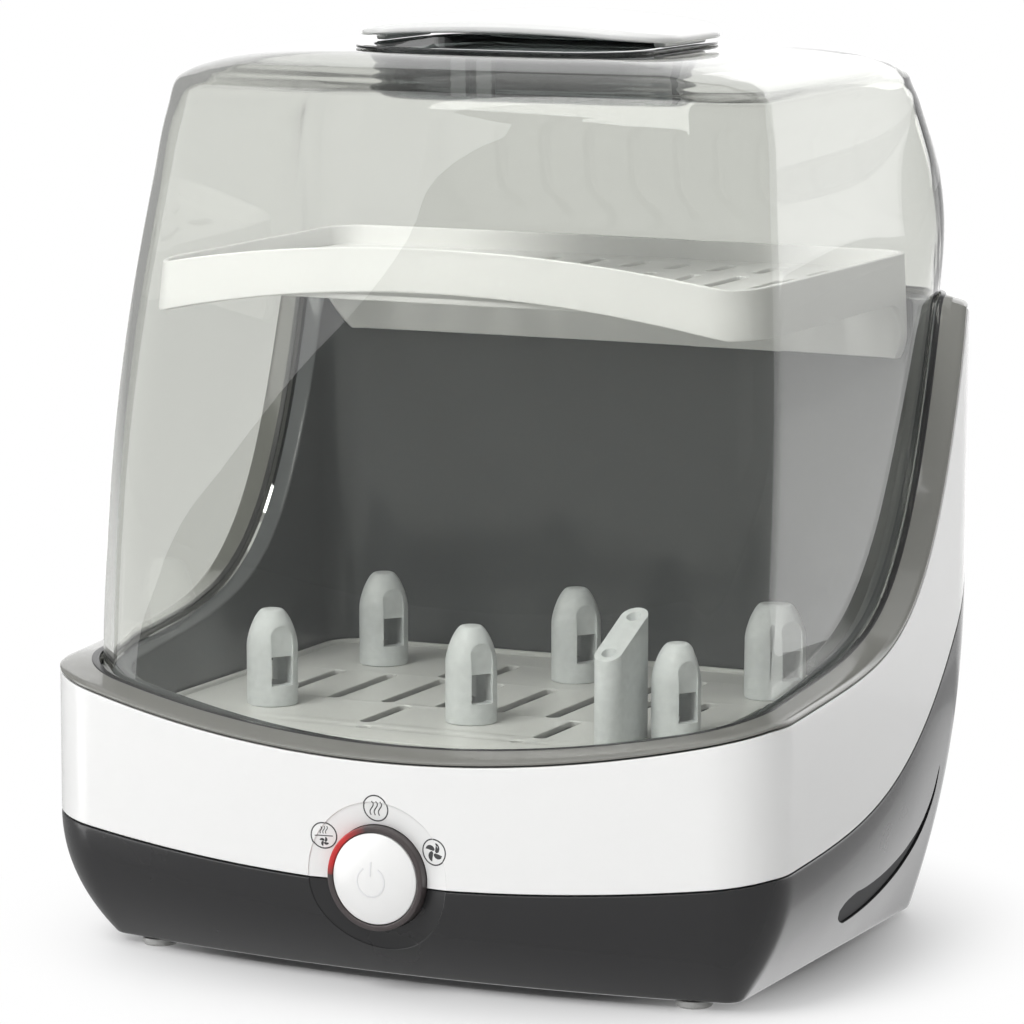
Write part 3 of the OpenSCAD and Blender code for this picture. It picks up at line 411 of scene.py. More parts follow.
def plate(name: str, outlines: Sequence[Array], z: float, height: float, edge: float) -> Mesh:
    """A flat plate with holes, its edges rounded all along.

    A filled 2D curve gives the flat faces and its bevel the rounded edges, and the
    mesh that comes of it is taken over.

    Args:
        name: A name for the working curve.
        outlines: The outer outline and then the holes, points by 2.
        z: Height of the underside.
        height: Thickness.
        edge: How far the edges are rounded.

    Returns:
        The plate as one skin.
    """
    curve = bpy.data.curves.new(name, "CURVE")
    curve.dimensions, curve.fill_mode = "2D", "BOTH"
    curve.extrude, curve.bevel_depth, curve.bevel_resolution = (height / 2 - edge), edge, 2
    curve.offset = -edge
    for points in outlines:
        line = curve.splines.new("POLY")
        line.points.add(len(points) - 1)
        line.points.foreach_set("co", np.c_[points, np.zeros(len(points)), np.ones(len(points))].ravel())
        line.use_cyclic_u = True
    obj = shown(name, curve)
    data = evaluated(obj)
    verts, tris = arrays(data)
    _, first, same = np.unique(np.round(verts, 3), axis=0, return_index=True, return_inverse=True)
    tris = same.reshape(-1)[tris]
    tris = tris[(tris[:, 0] != tris[:, 1]) & (tris[:, 1] != tris[:, 2]) & (tris[:, 2] != tris[:, 0])]
    verts = verts[first] + [0, 0, z + height / 2]
    bpy.data.objects.remove(obj)
    bpy.data.curves.remove(curve)
    bpy.data.meshes.remove(data)
    return Mesh().add(verts, [tris])


def slot_outline(x: float, y: float, length: float, width: float, n: int = 8) -> Array:
    """The outline of a slot with round ends, long in y, clockwise."""
    t = np.linspace(0, math.pi, n + 1)
    top = np.c_[width / 2 * np.cos(t), (length - width) / 2 + width / 2 * np.sin(t)]
    return (np.vstack([top, -top]) + [x, y])[::-1]


def facing_front(y: float, z: float) -> Callable[[Array], Array]:
    """Places a turned piece with its axis forward, towards -Y, from depth y."""
    return lambda p: np.c_[p[:, 0], y - p[:, 2], z + p[:, 1]]


def cut_away(obj: bpy.types.Object, cutters: Sequence[bpy.types.Object], sharp: float = 38.0) -> None:
    """Cuts closed shapes out of a piece and removes them.

    Args:
        obj: The piece, whose mesh is replaced by the cut one.
        cutters: The shapes to take away.
        sharp: The angle in degrees from which an edge stays sharp.
    """
    for cutter in cutters:
        step = obj.modifiers.new("cut", "BOOLEAN")
        step.operation, step.solver, step.object = "DIFFERENCE", "MANIFOLD", cutter
    data = evaluated(obj)
    obj.modifiers.clear()
    old, obj.data = obj.data, data
    data.name = obj.name
    data.shade_smooth()
    data.set_sharp_from_angle(angle=math.radians(sharp))
    bpy.data.meshes.remove(old)
    for cutter in cutters:
        discard(cutter)


def triangles(obj: bpy.types.Object) -> tuple[Array, Array]:
    """A piece's points in millimetres and its triangles; the piece is then removed."""
    verts, tris = arrays(obj.data)
    discard(obj)
    return verts / MM, tris


def rod(r: float, low: float, high: float) -> Array:
    """The turned profile of a plain round rod."""
    return np.array([(0, low), (r, low), (r, high), (0, high)], float)


def prism(outline: Array, place: Callable[[Array], Array], depth: float) -> Mesh:
    """A straight prism over a flat outline, from 0 to depth, moved to its place."""
    low = np.c_[outline, np.zeros(len(outline))]
    return Mesh().loft(np.stack([place(low), place(low + [0, 0, depth])]), closed=False)


# ---------------------------------------------------------------- shared form
@dataclass(frozen=True)
class Form:
    """Sizes that the housing, the chamber and the lid share."""

    half_w: float = 140.5
    front: float = -110.7
    rear: float = 115.3
    bow_front: float = 12.0
    bow_rear: float = 4.0
    corner_front: float = 25.0
    corner_rear: float = 36.0
    ledge_w: float = 11.2
    lid_gap: float = 0.8
    lid_corner_rear: float = 18.0
    wall: float = 2.6
    foot_h: float = 2.8
    tuck: float = 18.5
    tuck_power: float = 2.05
    button_z: float = 41.0
    button_r: float = 16.0

    @property
    def mid_y(self) -> float:
        """Depth of the housing's middle."""
        return (self.front + self.rear) / 2

    @property
    def body(self) -> Plan:
        """Plan of the housing's outside."""
        return Plan(self.half_w, self.front, self.rear, self.bow_front, self.bow_rear,
                    self.corner_front, self.corner_rear)

    @property
    def lid_e(self) -> float:
        """How far the lid's edge lies inside the housing's outside."""
        return self.ledge_w + self.lid_gap

    @property
    def edge(self) -> Plan:
        """Plan of the lid's lower edge."""
        e = self.lid_e
        return Plan(self.half_w - e, self.front + e, self.rear - e, self.bow_front, self.bow_rear,
                    self.corner_front - 3, self.lid_corner_rear)

    def plan_at(self, e: float) -> Plan:
        """Plan at inset e: between the outside and the lid's edge, or inside that edge."""
        if e < self.lid_e:
            return self.body.mixed(self.edge, e / self.lid_e)
        return self.edge.inset(e - self.lid_e)

    def sweep(self, fronts: tuple[float, float, float], rise: float, power: float, end: float) -> Sweep:
        """A sweep over the housing from its three heights, its rise, power and end."""
        return Sweep(*fronts, rise, power, self.front + 18, self.rear - end, self.mid_y, self.half_w - 3)

    @property
    def rim(self) -> Sweep:
        """Height of the rim."""
        return self.sweep((82.5, 101.0, 226.0), 12, 6, 32)

    @property
    def seam(self) -> Sweep:
        """Height of the colour seam."""
        return self.sweep((38.5, 49.0, 130.0), 8, 4, 25)

    def rim_ring(self, e: float, d: float, n: Counts) -> Array:
        """Ring at inset e, d square to the rim's sweep."""
        return self.rim.ring(self.plan_at(e).outline(n), d)

    def seam_ring(self, e: float, d: float, n: Counts) -> Array:
        """Ring at inset e, d above the seam."""
        p = self.plan_at(e).outline(n)
        return np.c_[p, self.seam.z(p) + d]

    def level_ring(self, e: float, z: float, n: Counts) -> Array:
        """Flat ring at inset e."""
        p = self.plan_at(e).outline(n)
        return np.c_[p, np.full(len(p), z)]

    def tuck_at(self, v: Array) -> Array:
        """How far the base tucks in at share v of its height: tuck (1 - v)^power."""
        return self.tuck * np.clip(1 - v, 0, 1) ** self.tuck_power

    def front_y(self, x: Array, z: Array) -> Array:
        """Depth of the front's skin: the bow's parabola, further in where the base tucks in."""
        seam = self.seam.z(np.c_[x, np.full(np.shape(x), self.front)])
        e = self.tuck_at((z - self.foot_h) / (seam - self.foot_h))
        return self.front + e + self.bow_front * (x / (self.half_w - e)) ** 2

    def flank_x(self, y: Array, z: Array) -> Array:
        """Half width of the flank's skin at depth y and height z."""
        seam = self.seam.z(np.c_[np.full(np.shape(y), self.half_w), y])
        return self.half_w - self.tuck_at((z - self.foot_h) / (seam - self.foot_h))


# ---------------------------------------------------------------- finishes
def node_tree(name: str) -> tuple[bpy.types.Material, bpy.types.NodeTree, bpy.types.Node]:
    """A new material, its node tree and its Principled node."""
    mat = bpy.data.materials.new(name)
    mat.use_nodes = True
    return mat, mat.node_tree, mat.node_tree.nodes["Principled BSDF"]


def noise_node(tree: bpy.types.NodeTree, size_mm: float, detail: float) -> bpy.types.Node:
    """A noise node on object coordinates whose features are about size_mm wide."""
    coords = tree.nodes.new("ShaderNodeTexCoord")
    noise = tree.nodes.new("ShaderNodeTexNoise")
    noise.inputs["Scale"].default_value = 1 / (size_mm * MM)
    noise.inputs["Detail"].default_value = detail
    tree.links.new(coords.outputs["Object"], noise.inputs["Vector"])
    return noise


def ranged(tree: bpy.types.NodeTree, value: bpy.types.NodeSocket, low: float | bpy.types.NodeSocket,
           high: float | bpy.types.NodeSocket, reach: tuple[float, float] = (0.0, 1.0)) -> bpy.types.Node:
    """A node that maps a value from reach to the way from low to high.

    Args:
        tree: The node tree.
        value: The socket that feeds it.
        low: What the reach's lower end becomes, a number or a socket.
        high: What its upper end becomes.
        reach: The value's range.

    Returns:
        The Map Range node.
    """
    node = tree.nodes.new("ShaderNodeMapRange")
    node.inputs["From Min"].default_value, node.inputs["From Max"].default_value = reach
    for name, end in (("To Min", low), ("To Max", high)):
        if isinstance(end, bpy.types.NodeSocket):
            tree.links.new(end, node.inputs[name])
        else:
            node.inputs[name].default_value = end
    tree.links.new(value, node.inputs["Value"])
    return node


def linear(rgb: tuple[float, float, float]) -> tuple[float, float, float, float]:
    """A display colour from 0 to 255 as a linear one."""
    c = np.array(rgb) / 255
    return (*np.where(c <= 0.04045, c / 12.92, ((c + 0.055) / 1.055) ** 2.4), 1.0)


@dataclass(frozen=True)
class Finish:
    """A moulded or metal surface with a fine grain, a faint mottle and uneven gloss."""

    name: str
    rgb: tuple[float, float, float]
    roughness: float = 0.3
    spread: float = 0.04
    metallic: float = 0.0
    coat: float = 0.0
    grain: float = 0.0
    grain_mm: float = 0.5
    mottle: float = 0.02
    mottle_mm: float = 18.0
    transmission: float = 0.0
    subsurface: float = 0.0
    specular: float = 0.5
    coat_roughness: float = 0.06
    grain_depth_mm: float = 0.06

    def colour(self, tree: bpy.types.NodeTree) -> bpy.types.NodeSocket:
        """The colour: a little lighter and darker over the mottle's noise."""
        noise = noise_node(tree, self.mottle_mm, 3)
        mix = tree.nodes.new("ShaderNodeMix")
        mix.data_type = "RGBA"
        base = np.array(linear(self.rgb))
        for socket, share in ((MIX_A, 1 - self.mottle), (MIX_B, 1 + self.mottle)):
            mix.inputs[socket].default_value = (*np.clip(base[:3] * share, 0, 1), 1)
        tree.links.new(noise.outputs["Fac"], mix.inputs[0])
        return mix.outputs[MIX_OUT]

    def make(self) -> bpy.types.Material:
        """Builds the material."""
        mat, tree, shader = node_tree(self.name)
        tree.links.new(self.colour(tree), shader.inputs["Base Color"])
        rough = ranged(tree, noise_node(tree, self.mottle_mm * 1.7, 4).outputs["Fac"],
                       max(0.02, self.roughness - self.spread), self.roughness + self.spread)
        tree.links.new(rough.outputs["Result"], shader.inputs["Roughness"])
        values = {"Metallic": self.metallic, "Specular IOR Level": self.specular, "Coat Weight": self.coat,
                  "Coat Roughness": self.coat_roughness, "Transmission Weight": self.transmission,
                  "Subsurface Weight": self.subsurface, "Subsurface Radius": (0.004, 0.004, 0.004)}
        for name, value in values.items():
            shader.inputs[name].default_value = value
        if self.grain > 0:
            bump = tree.nodes.new("ShaderNodeBump")
            bump.inputs["Strength"].default_value = self.grain
            bump.inputs["Distance"].default_value = self.grain_depth_mm * MM
            tree.links.new(noise_node(tree, self.grain_mm, 2).outputs["Fac"], bump.inputs["Height"])
            tree.links.new(bump.outputs["Normal"], shader.inputs["Normal"])
        return mat


@dataclass(frozen=True)
class ClearFinish:
    """A polished clear moulding, tinted, that lets the lamps' light through."""

    name: str
    tint: tuple[float, float, float]
    roughness: float = 0.0
    ior: float = 1.46
    shade: tuple[float, float, float] = (235, 238, 237)

    def make(self) -> bpy.types.Material:
        """Builds the material: a glass-like shader, and a clear one for the lamps' rays."""
        mat, tree, shader = node_tree(self.name)
        shader.inputs["Base Color"].default_value = linear(self.tint)
        shader.inputs["Transmission Weight"].default_value = 1.0
        shader.inputs["Roughness"].default_value = self.roughness
        shader.inputs["IOR"].default_value = self.ior
        path = tree.nodes.new("ShaderNodeLightPath")
        clear = tree.nodes.new("ShaderNodeBsdfTransparent")
        clear.inputs["Color"].default_value = linear(self.shade)
        mix = tree.nodes.new("ShaderNodeMixShader")
        out = tree.nodes["Material Output"]
        tree.links.new(path.outputs["Is Shadow Ray"], mix.inputs[0])
        tree.links.new(shader.outputs[0], mix.inputs[1])
        tree.links.new(clear.outputs[0], mix.inputs[2])
        tree.links.new(mix.outputs[0], out.inputs["Surface"])
        return mat


@dataclass(frozen=True)
class RingFinish:
    """The light ring: dark frosted, and lit red over an arc at its upper left."""

    name: str = "frosted_ring"
    centre: tuple[float, float, float] = (0.0, 0.0, 0.041)
    dark: tuple[float, float, float] = (72, 66, 66)
    lit: tuple[float, float, float] = (196, 44, 44)
    tail: tuple[float, float, float] = (120, 60, 58)
    starts: tuple[float, float, float] = (0.78, 0.87, 0.965)
    roughness: float = 0.28

    def make(self) -> bpy.types.Material:
        """Builds the material: the angle round the ring's axis picks the lit arc."""
        mat, tree, shader = node_tree(self.name)
        coords = tree.nodes.new("ShaderNodeTexCoord")
        place = tree.nodes.new("ShaderNodeMapping")
        place.inputs["Location"].default_value = tuple(-c for c in self.centre)
        split = tree.nodes.new("ShaderNodeSeparateXYZ")
        angle = tree.nodes.new("ShaderNodeMath")
        angle.operation = "ARCTAN2"
        colours = tree.nodes.new("ShaderNodeValToRGB")
        tree.links.new(coords.outputs["Object"], place.inputs["Vector"])
        tree.links.new(place.outputs["Vector"], split.inputs["Vector"])
        tree.links.new(split.outputs["Z"], angle.inputs[0])
        tree.links.new(split.outputs["X"], angle.inputs[1])
        spread = ranged(tree, angle.outputs[0], 0.0, 1.0, (-math.pi, math.pi))
        tree.links.new(spread.outputs["Result"], colours.inputs["Fac"])
        dark, lit, tail = linear(self.dark), linear(self.lit), linear(self.tail)
        stops = colours.color_ramp.elements
        stops[0].position, stops[0].color = self.starts[0], dark
        stops[1].position, stops[1].color = self.starts[1], lit
        stops.new(self.starts[2]).color = lit
        stops.new(1.0).color = tail
        tree.links.new(colours.outputs["Color"], shader.inputs["Base Color"])
        shader.inputs["Roughness"].default_value = self.roughness
        return mat


class Look(Enum):
    """The finishes, by the record's material slots."""

    white_plastic = Finish("white_abs", (236, 236, 235), 0.24, grain=0.15, coat=0.15, mottle=0.006)
    charcoal_plastic = Finish("charcoal_abs", (40, 40, 41), 0.26, grain=0.25, coat=0.2, mottle=0.04)
    # Painted shade: a dull grey copy of the charcoal housing, laid on the finger grooves' floors so that they
    # read darker than the glossy flank
    pad_rubber = Finish("groove_pad", (92, 92, 93), 0.8, grain=0.4, specular=0.08)
    inner_charcoal = Finish("chamber_charcoal", (86, 89, 90), 0.2, grain=0.1, coat=0.3, mottle=0.05)
    grey_trim = Finish("rim_grey", (124, 124, 119), 0.16, grain=0.15, coat=0.6, mottle=0.03)
    clear_lid = ClearFinish("clear_acrylic", (225, 226, 222), shade=(252, 252, 252))
    smoke_dish = ClearFinish("smoke_acrylic", (98, 104, 104), 0.04, shade=(126, 132, 132))
    tray_plastic = Finish("tray_white", (240, 240, 239), 0.34, grain=0.2, subsurface=0.05)
    # Painted shade: the tray's white plastic made darker for the rack, which sits low in the shaded chamber
    rack_plastic = Finish("rack_white", (212, 213, 210), 0.34, grain=0.2)
    frosted_post = Finish("frosted_nylon", (222, 226, 226), 0.36, mottle=0.16, mottle_mm=3.0,
                          transmission=0.1)
    steel_plate = Finish("brushed_plate", (190, 190, 190), 0.32, metallic=1.0, grain=0.4, grain_mm=0.4)
    aluminium_part = Finish("satin_aluminium", (200, 200, 203), 0.36, metallic=1.0)
    brass_part = Finish("brass", (200, 165, 90), 0.35, metallic=1.0)
    board = Finish("board_green", (28, 92, 52), 0.45)
    soft_rubber = Finish("grey_rubber", (188, 188, 186), 0.6, grain=0.5)
    black_rubber = Finish("gland_rubber", (34, 34, 35), 0.6, grain=0.5)
    filter_media = Finish("filter_paper", (228, 230, 224), 0.85, grain=1.0, grain_mm=0.25)
    ring_lens = RingFinish()
    fan_plastic = Finish("fan_black", (44, 44, 46), 0.4, grain=0.3)
    print_grey = Finish("printed_grey", (62, 62, 63), 0.5)
    # Painted shade: the cap's white plastic made a little greyer on the raised power mark so that its relief
    # shows
    emboss_grey = Finish("button_mark", (224, 224, 225), 0.3)

    def material(self) -> bpy.types.Material:
        """The material, made once."""
        return bpy.data.materials.get(self.value.name) or self.value.make()


def dress(obj: bpy.types.Object, look: Look, body: Body, slot: str = "", node: str = "") -> None:
    """Gives a new piece its finish, its body and the CAD node it stands for.

    Args:
        obj: The piece.
        look: Its finish.
        body: The body it rides on.
        slot: The record's material slot, not used.
        node: The CAD node that it replaces, if any.
    """
    obj.data.materials.clear()
    obj.data.materials.append(look.material())
    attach(obj, body.value)
    slot or look.name
    if node:
        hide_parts(node)
    LOG.info("%s rides on %s, %d faces", obj.name, body.value, len(obj.data.polygons))


# ---------------------------------------------------------------- sub-assemblies
def stack(rings: Sequence[Array], radii: Sequence[float], steps: int = 5) -> Array:
    """Rounds the corners of a stack of control rings, point by point.

    Args:
        rings: The control rings, each points by 3.
        radii: How far from each ring its rounding starts, 0 for a sharp edge.
        steps: Rings along each rounding.

    Returns:
        The finer stack, rings by points by 3.
    """
    n = len(rings[0])
    flat = np.stack([ring.ravel() for ring in rings])
    return rounded(flat, np.asarray(radii, float) * math.sqrt(n), steps).reshape(-1, n, 3)


def between(a: Array, b: Array, count: int) -> list[Array]:
    """Rings spread evenly between two rings, without the two themselves."""
    shares = np.linspace(0, 1, count + 2)[1:-1]
    return [a * (1 - v) + b * v for v in shares]


def box_skin(low: Sequence[float], high: Sequence[float], edge: float) -> Array:
    """A rounded box as a stack of rings: a rounded square that shrinks at both ends."""
    (x0, y0, z0), (x1, y1, z1) = low, high
    t = np.linspace(0, 2 * math.pi, 24, endpoint=False) + math.pi / 24
    corner = np.c_[np.cos(t), np.sin(t)]
    sign = np.sign(corner)

    def ring(e: float, z: float) -> Array:
        x = (x0 + x1) / 2 + sign[:, 0] * ((x1 - x0) / 2 - edge) + corner[:, 0] * (edge - e)
        y = (y0 + y1) / 2 + sign[:, 1] * ((y1 - y0) / 2 - edge) + corner[:, 1] * (edge - e)
        return np.c_[x, y, np.full(len(x), z)]

    bend = np.linspace(0, math.pi / 2, 4)
    e, h = edge * (1 - np.sin(bend)), edge * (1 - np.cos(bend))
    ends = [(a, z0 + b) for a, b in zip(e, h)]
    return np.stack([ring(a, z) for a, z in ends] + [ring(a, z1 + z0 - z) for a, z in ends[::-1]])


@dataclass
class Subassembly:
    """Pieces that share the product's form."""

    form: Form

    def build(self) -> None:
        """Builds the pieces."""
        raise NotImplementedError


@dataclass
class Housing(Subassembly):
    """The two-colour outer housing and its grey rim."""

    n: Counts = Counts(46, 16, 64, 24)
    recess_r: float = 26.5
    recess_rise: float = 0.45
    recess_depth: float = 2.3
    recess_inner: float = 16.6
    hole_r: float = 18.6
    groove_way: tuple[tuple[float, float], ...] = (
        (92, 23.5), (106, 22), (124, 22.7), (142, 25.6), (158, 30.5), (171, 38), (178, 48), (180, 60))
    groove_half: float = 6.2
    groove_fade: float = 0.6
    groove_swell: float = 8.0
    groove_least: float = 0.15
    groove_depth: float = 1.5
    groove_points: int = 39
    # How far the painted-shade sheets stand above and sink below the groove's floor
    pad_up: float = 0.35
    pad_down: float = 0.3
    hull_top: float = 0.93
    hull_crowd: float = 1.25
    lip_e: float = 2.9
    lip_t: float = 2.0
    lip_h: float = 4.0
    pan_e: float = 20.7
    filter_half_w: float = 42.0
    filter_z: tuple[float, float] = (83, 123)
    gland_at: tuple[float, float] = (-78, 46)
    gland_r: float = 7.3
    trim_top: float = 3.3
    through: float = 50.0

    def hull_ring(self, v: float, t: float = 0.0) -> Array:
        """Ring at share v of the lower housing's height, t inside its skin."""
        f = self.form
        p = f.body.inset(float(f.tuck_at(np.array(v))) + t, 1.0).outline(self.n)
        return np.c_[p, f.foot_h * (1 - v) + f.seam.z(f.body.outline(self.n)) * v]

    def flat_ring(self, e: float, z: float) -> Array:
        """Level ring at hull inset e."""
        p = self.form.body.inset(e, 1.0).outline(self.n)
        return np.c_[p, np.full(len(p), z)]

    def recess_d(self, rho: Array) -> Array:
        """Depth of the dished recess at distance rho from the button's axis: a short step, then a cone."""
        cone = (self.recess_r - rho) / (self.recess_r - self.recess_inner)
        depth = self.recess_rise + (self.recess_depth - self.recess_rise) * cone
        return np.where(rho < self.recess_r, depth, 0)

    def face_y(self, x: Array, z: Array) -> Array:
        """Depth of the front with its recess."""
        rho = np.hypot(x, z - self.form.button_z)
        return self.form.front_y(x, z) + self.recess_d(rho)

    def recess_cutter(self) -> bpy.types.Object:
        """The shape that dishes the front round the button, with its outer edge eased."""
        r, inner = self.recess_r, self.recess_inner
        rows = rounded([(inner, self.recess_depth), (r, self.recess_rise), (r + 0.05, 0.12),
                        (r + 0.5, -0.25), (r + 1.0, -7)], [0, 0.5, 0.12, 0.2, 0], 5)
        rows = np.vstack([np.c_[np.linspace(1, inner - 1, 5), np.full(5, rows[0, 1])], rows])
        t = np.linspace(0, 2 * math.pi, 120, endpoint=False)
        x, z = np.outer(rows[:, 0], np.cos(t)), np.outer(rows[:, 0], np.sin(t)) + self.form.button_z
        y = self.form.front_y(x.ravel(), z.ravel()).reshape(x.shape) + rows[:, 1:2]
        return Mesh().loft(np.stack([x, y, z], -1), closed=False).make("recess_cutter")

    def crescent(self, side: int, rows: Array) -> Mesh:
        """A crescent on one flank, the shape of the finger groove and of the painted-shade sheet in it.

        Its middle line is a smooth curve through points of depth behind the front and
        height. Its half width grows by a square root from the round lower end and falls
        as (1 - u)^fade to the upper tip. Smaller sections also draw in lengthwise.

        Args:
            side: 1 for the right flank, -1 for the left one.
            rows: Share of the half width, and depth below the flank.

        Returns:
            The closed mesh.
        """
        f, half, count = self.form, self.groove_half, self.groove_points
        way = spline(np.array(self.groove_way)[:, None, :] + [f.front, 0], 12)[:, 0]
        length = np.r_[0, np.cumsum(np.linalg.norm(np.diff(way, axis=0), axis=1))]
        length /= length[-1]
        slope = np.gradient(way, length, axis=0)
        t = np.linspace(0, 1, count + 1)[:-1]
        t, sign = np.r_[t, 1 - t], np.r_[np.full(count, -1.0), np.full(count, 1.0)]
        rings = []
        for share, depth in rows:
            u = 0.5 + (t - 0.5) * min(1, 0.45 + 0.55 * share)
            swell = np.minimum(1, np.sqrt(u * self.groove_swell))
            width = half * share * (1 - u) ** self.groove_fade * swell + self.groove_least * np.sin(math.pi * t)
            step = np.c_[np.interp(u, length, slope[:, 0]), np.interp(u, length, slope[:, 1])]
            across = np.c_[step[:, 1], -step[:, 0]] / np.linalg.norm(step, axis=1)[:, None]
            p = np.c_[np.interp(u, length, way[:, 0]), np.interp(u, length, way[:, 1])]
            p += across * (sign * width)[:, None]
            rings.append(np.c_[side * (f.flank_x(p[:, 0], p[:, 1]) - depth), p])
        return Mesh().loft(np.stack(rings), closed=False, ends="rungs")

    def groove_cutter(self, side: int) -> bpy.types.Object:
        """The shape that cuts the crescent finger groove into one flank."""
        deep = self.groove_depth
        rows = rounded([(0.12, deep), (0.97, deep), (1.0, 0.25), (1.05, -0.25), (1.1, -6)],
                       [0, 0.06, 0.1, 0.1, 0], 4)
        return self.crescent(side, rows).make("groove_cutter")

    def pads(self) -> bpy.types.Object:
        """The two dull grey sheets on the grooves' floors, painted shade that makes the grooves read darker
        than the glossy flank.
        """
        top, low = self.groove_depth - self.pad_up, self.groove_depth + self.pad_down
        rows = rounded([(0.12, top), (0.94, top), (0.94, low), (0.12, low)], [0, 0.04, 0.04, 0], 4)
        mesh = self.crescent(1, rows)
        left = self.crescent(-1, rows)
        return mesh.add(left.verts[0], left.faces).make("groove_pads")

    def hole_cutter(self) -> bpy.types.Object:
        """The button's hole."""
        place = facing_front(self.form.front + self.through / 2, self.form.button_z)
        return Mesh().revolve(rod(self.hole_r, -10, self.through - 10), 118, place).make("hole_cutter")

    def lower(self) -> bpy.types.Object:
        """The dark lower housing with its groove, recess and rear openings."""
        f, n = self.form, self.n
        rings = [self.flat_ring(f.tuck + 0.9, f.foot_h), self.flat_ring(f.tuck + 0.1, f.foot_h + 0.3)]
        rings += [self.hull_ring(v) for v in self.hull_top * np.linspace(0, 1, 30)[1:] ** self.hull_crowd]
        edge = [f.seam_ring(0, -2, n), f.seam_ring(0, -0.3, n), f.seam_ring(self.lip_e, -0.3, n)]
        rings += list(stack(edge, [0, 0.5, 0], 5))
        lip, top = self.lip_e + self.lip_t, self.lip_h
        rings += [f.seam_ring(self.lip_e, top, n), f.seam_ring(lip, top, n), f.seam_ring(lip, -2, n)]
        rings += [self.hull_ring(v, f.wall) for v in np.linspace(0.85, 0.02, 12)]
        rings += [self.flat_ring(self.pan_e, f.foot_h + 0.6)]
        obj = Mesh().loft(np.stack(rings)).make("lower_housing_skin")
        half, (low, high), (x, z) = self.filter_half_w, self.filter_z, self.gland_at
        filter_box = box_skin((-half, f.rear - 20, low), (half, f.rear + 5, high), 0.6)
        place = facing_front(f.rear, z)
        gland = Mesh().revolve(rod(self.gland_r, -12, 30), 48, lambda p: place(p) + [x, 0, 0])
        cutters = [self.recess_cutter(), self.groove_cutter(1), self.groove_cutter(-1), self.hole_cutter()]
        cutters += [Mesh().loft(filter_box, False).make("filter_cutter"), gland.make("gland_cutter")]
        cut_away(obj, cutters)
        return obj

    def upper(self) -> bpy.types.Object:
        """The white upper housing."""
        f, n = self.form, self.n
        low, high = f.seam_ring(0, 1.2, n), f.rim_ring(0, -3, n)
        rings = list(stack([f.seam_ring(f.wall, 0.3, n), f.seam_ring(0, 0.3, n), low], [0, 0.45, 0], 5))
        rings += between(low, high, 16)
        rings += list(stack([high, f.rim_ring(0, -1.2, n), f.rim_ring(f.wall, -1.2, n)], [0, 0.4, 0], 4))
        inner = f.rim_ring(f.wall, -3, n)
        rings += [inner] + between(inner, f.seam_ring(f.wall, 2, n), 6)
        obj = Mesh().loft(np.stack(rings)).make("body_shell_skin")
        cut_away(obj, [self.recess_cutter(), self.hole_cutter()])
        return obj

    def along_rim(self, rows: Array) -> Mesh:
        """A closed section of insets and heights, carried round the rim."""
        return Mesh().loft(np.stack([self.form.rim_ring(e, d, self.n) for e, d in rows]))

    def trim(self) -> bpy.types.Object:
        """The warm grey rim, a soft-edged ledge round the lid."""
        w, top = self.form.ledge_w, self.trim_top
        corners = [(5, -0.5), (0, -0.5), (0, 0.45), (1.1, 1.25), (4.5, 2.15), (w - 2.4, top - 0.15),
                   (w - 0.6, top), (w, top - 0.7), (w, -0.5), (7, -0.5)]
        rows = rounded(corners, [0, 0.25, 0.4, 0.9, 1.5, 1.0, 0.45, 0.4, 0.2, 0], 6)
        return self.along_rim(rows).make("rim_trim_skin")

    def seal(self) -> bpy.types.Object:
        """The dark seal strip on the rim's inner edge, which the dome stands beside, made near-black so that it
        also paints the shadow gap between dome and rim.
        """
        w, top = self.form.ledge_w, self.trim_top
        low, high = w - 2.3, w - 0.1
        corners = [(low, top - 0.6), (low, top + 0.15), (high, top + 0.15), (high, top - 0.9)]
        return self.along_rim(rounded(corners, [0, 0.3, 0.3, 0], 4)).make("rim_seal")

    def build(self) -> None:
        """Builds the housing's mouldings, the painted-shade sheets in its grooves and its seal strip, which
        also paints the shadow gap round the dome.
        """
        dress(self.lower(), Look.charcoal_plastic, Body.BASE, node="lower_housing")
        # Painted shade: dull grey sheets on the grooves' floors
        dress(self.pads(), Look.pad_rubber, Body.BASE, slot="charcoal_plastic")
        dress(self.upper(), Look.white_plastic, Body.BASE, node="body_shell")
        dress(self.trim(), Look.grey_trim, Body.BASE, node="rim_trim")
        # Near-black strip: a seal line, and painted shadow of the gap between dome and rim
        dress(self.seal(), Look.charcoal_plastic, Body.BASE)


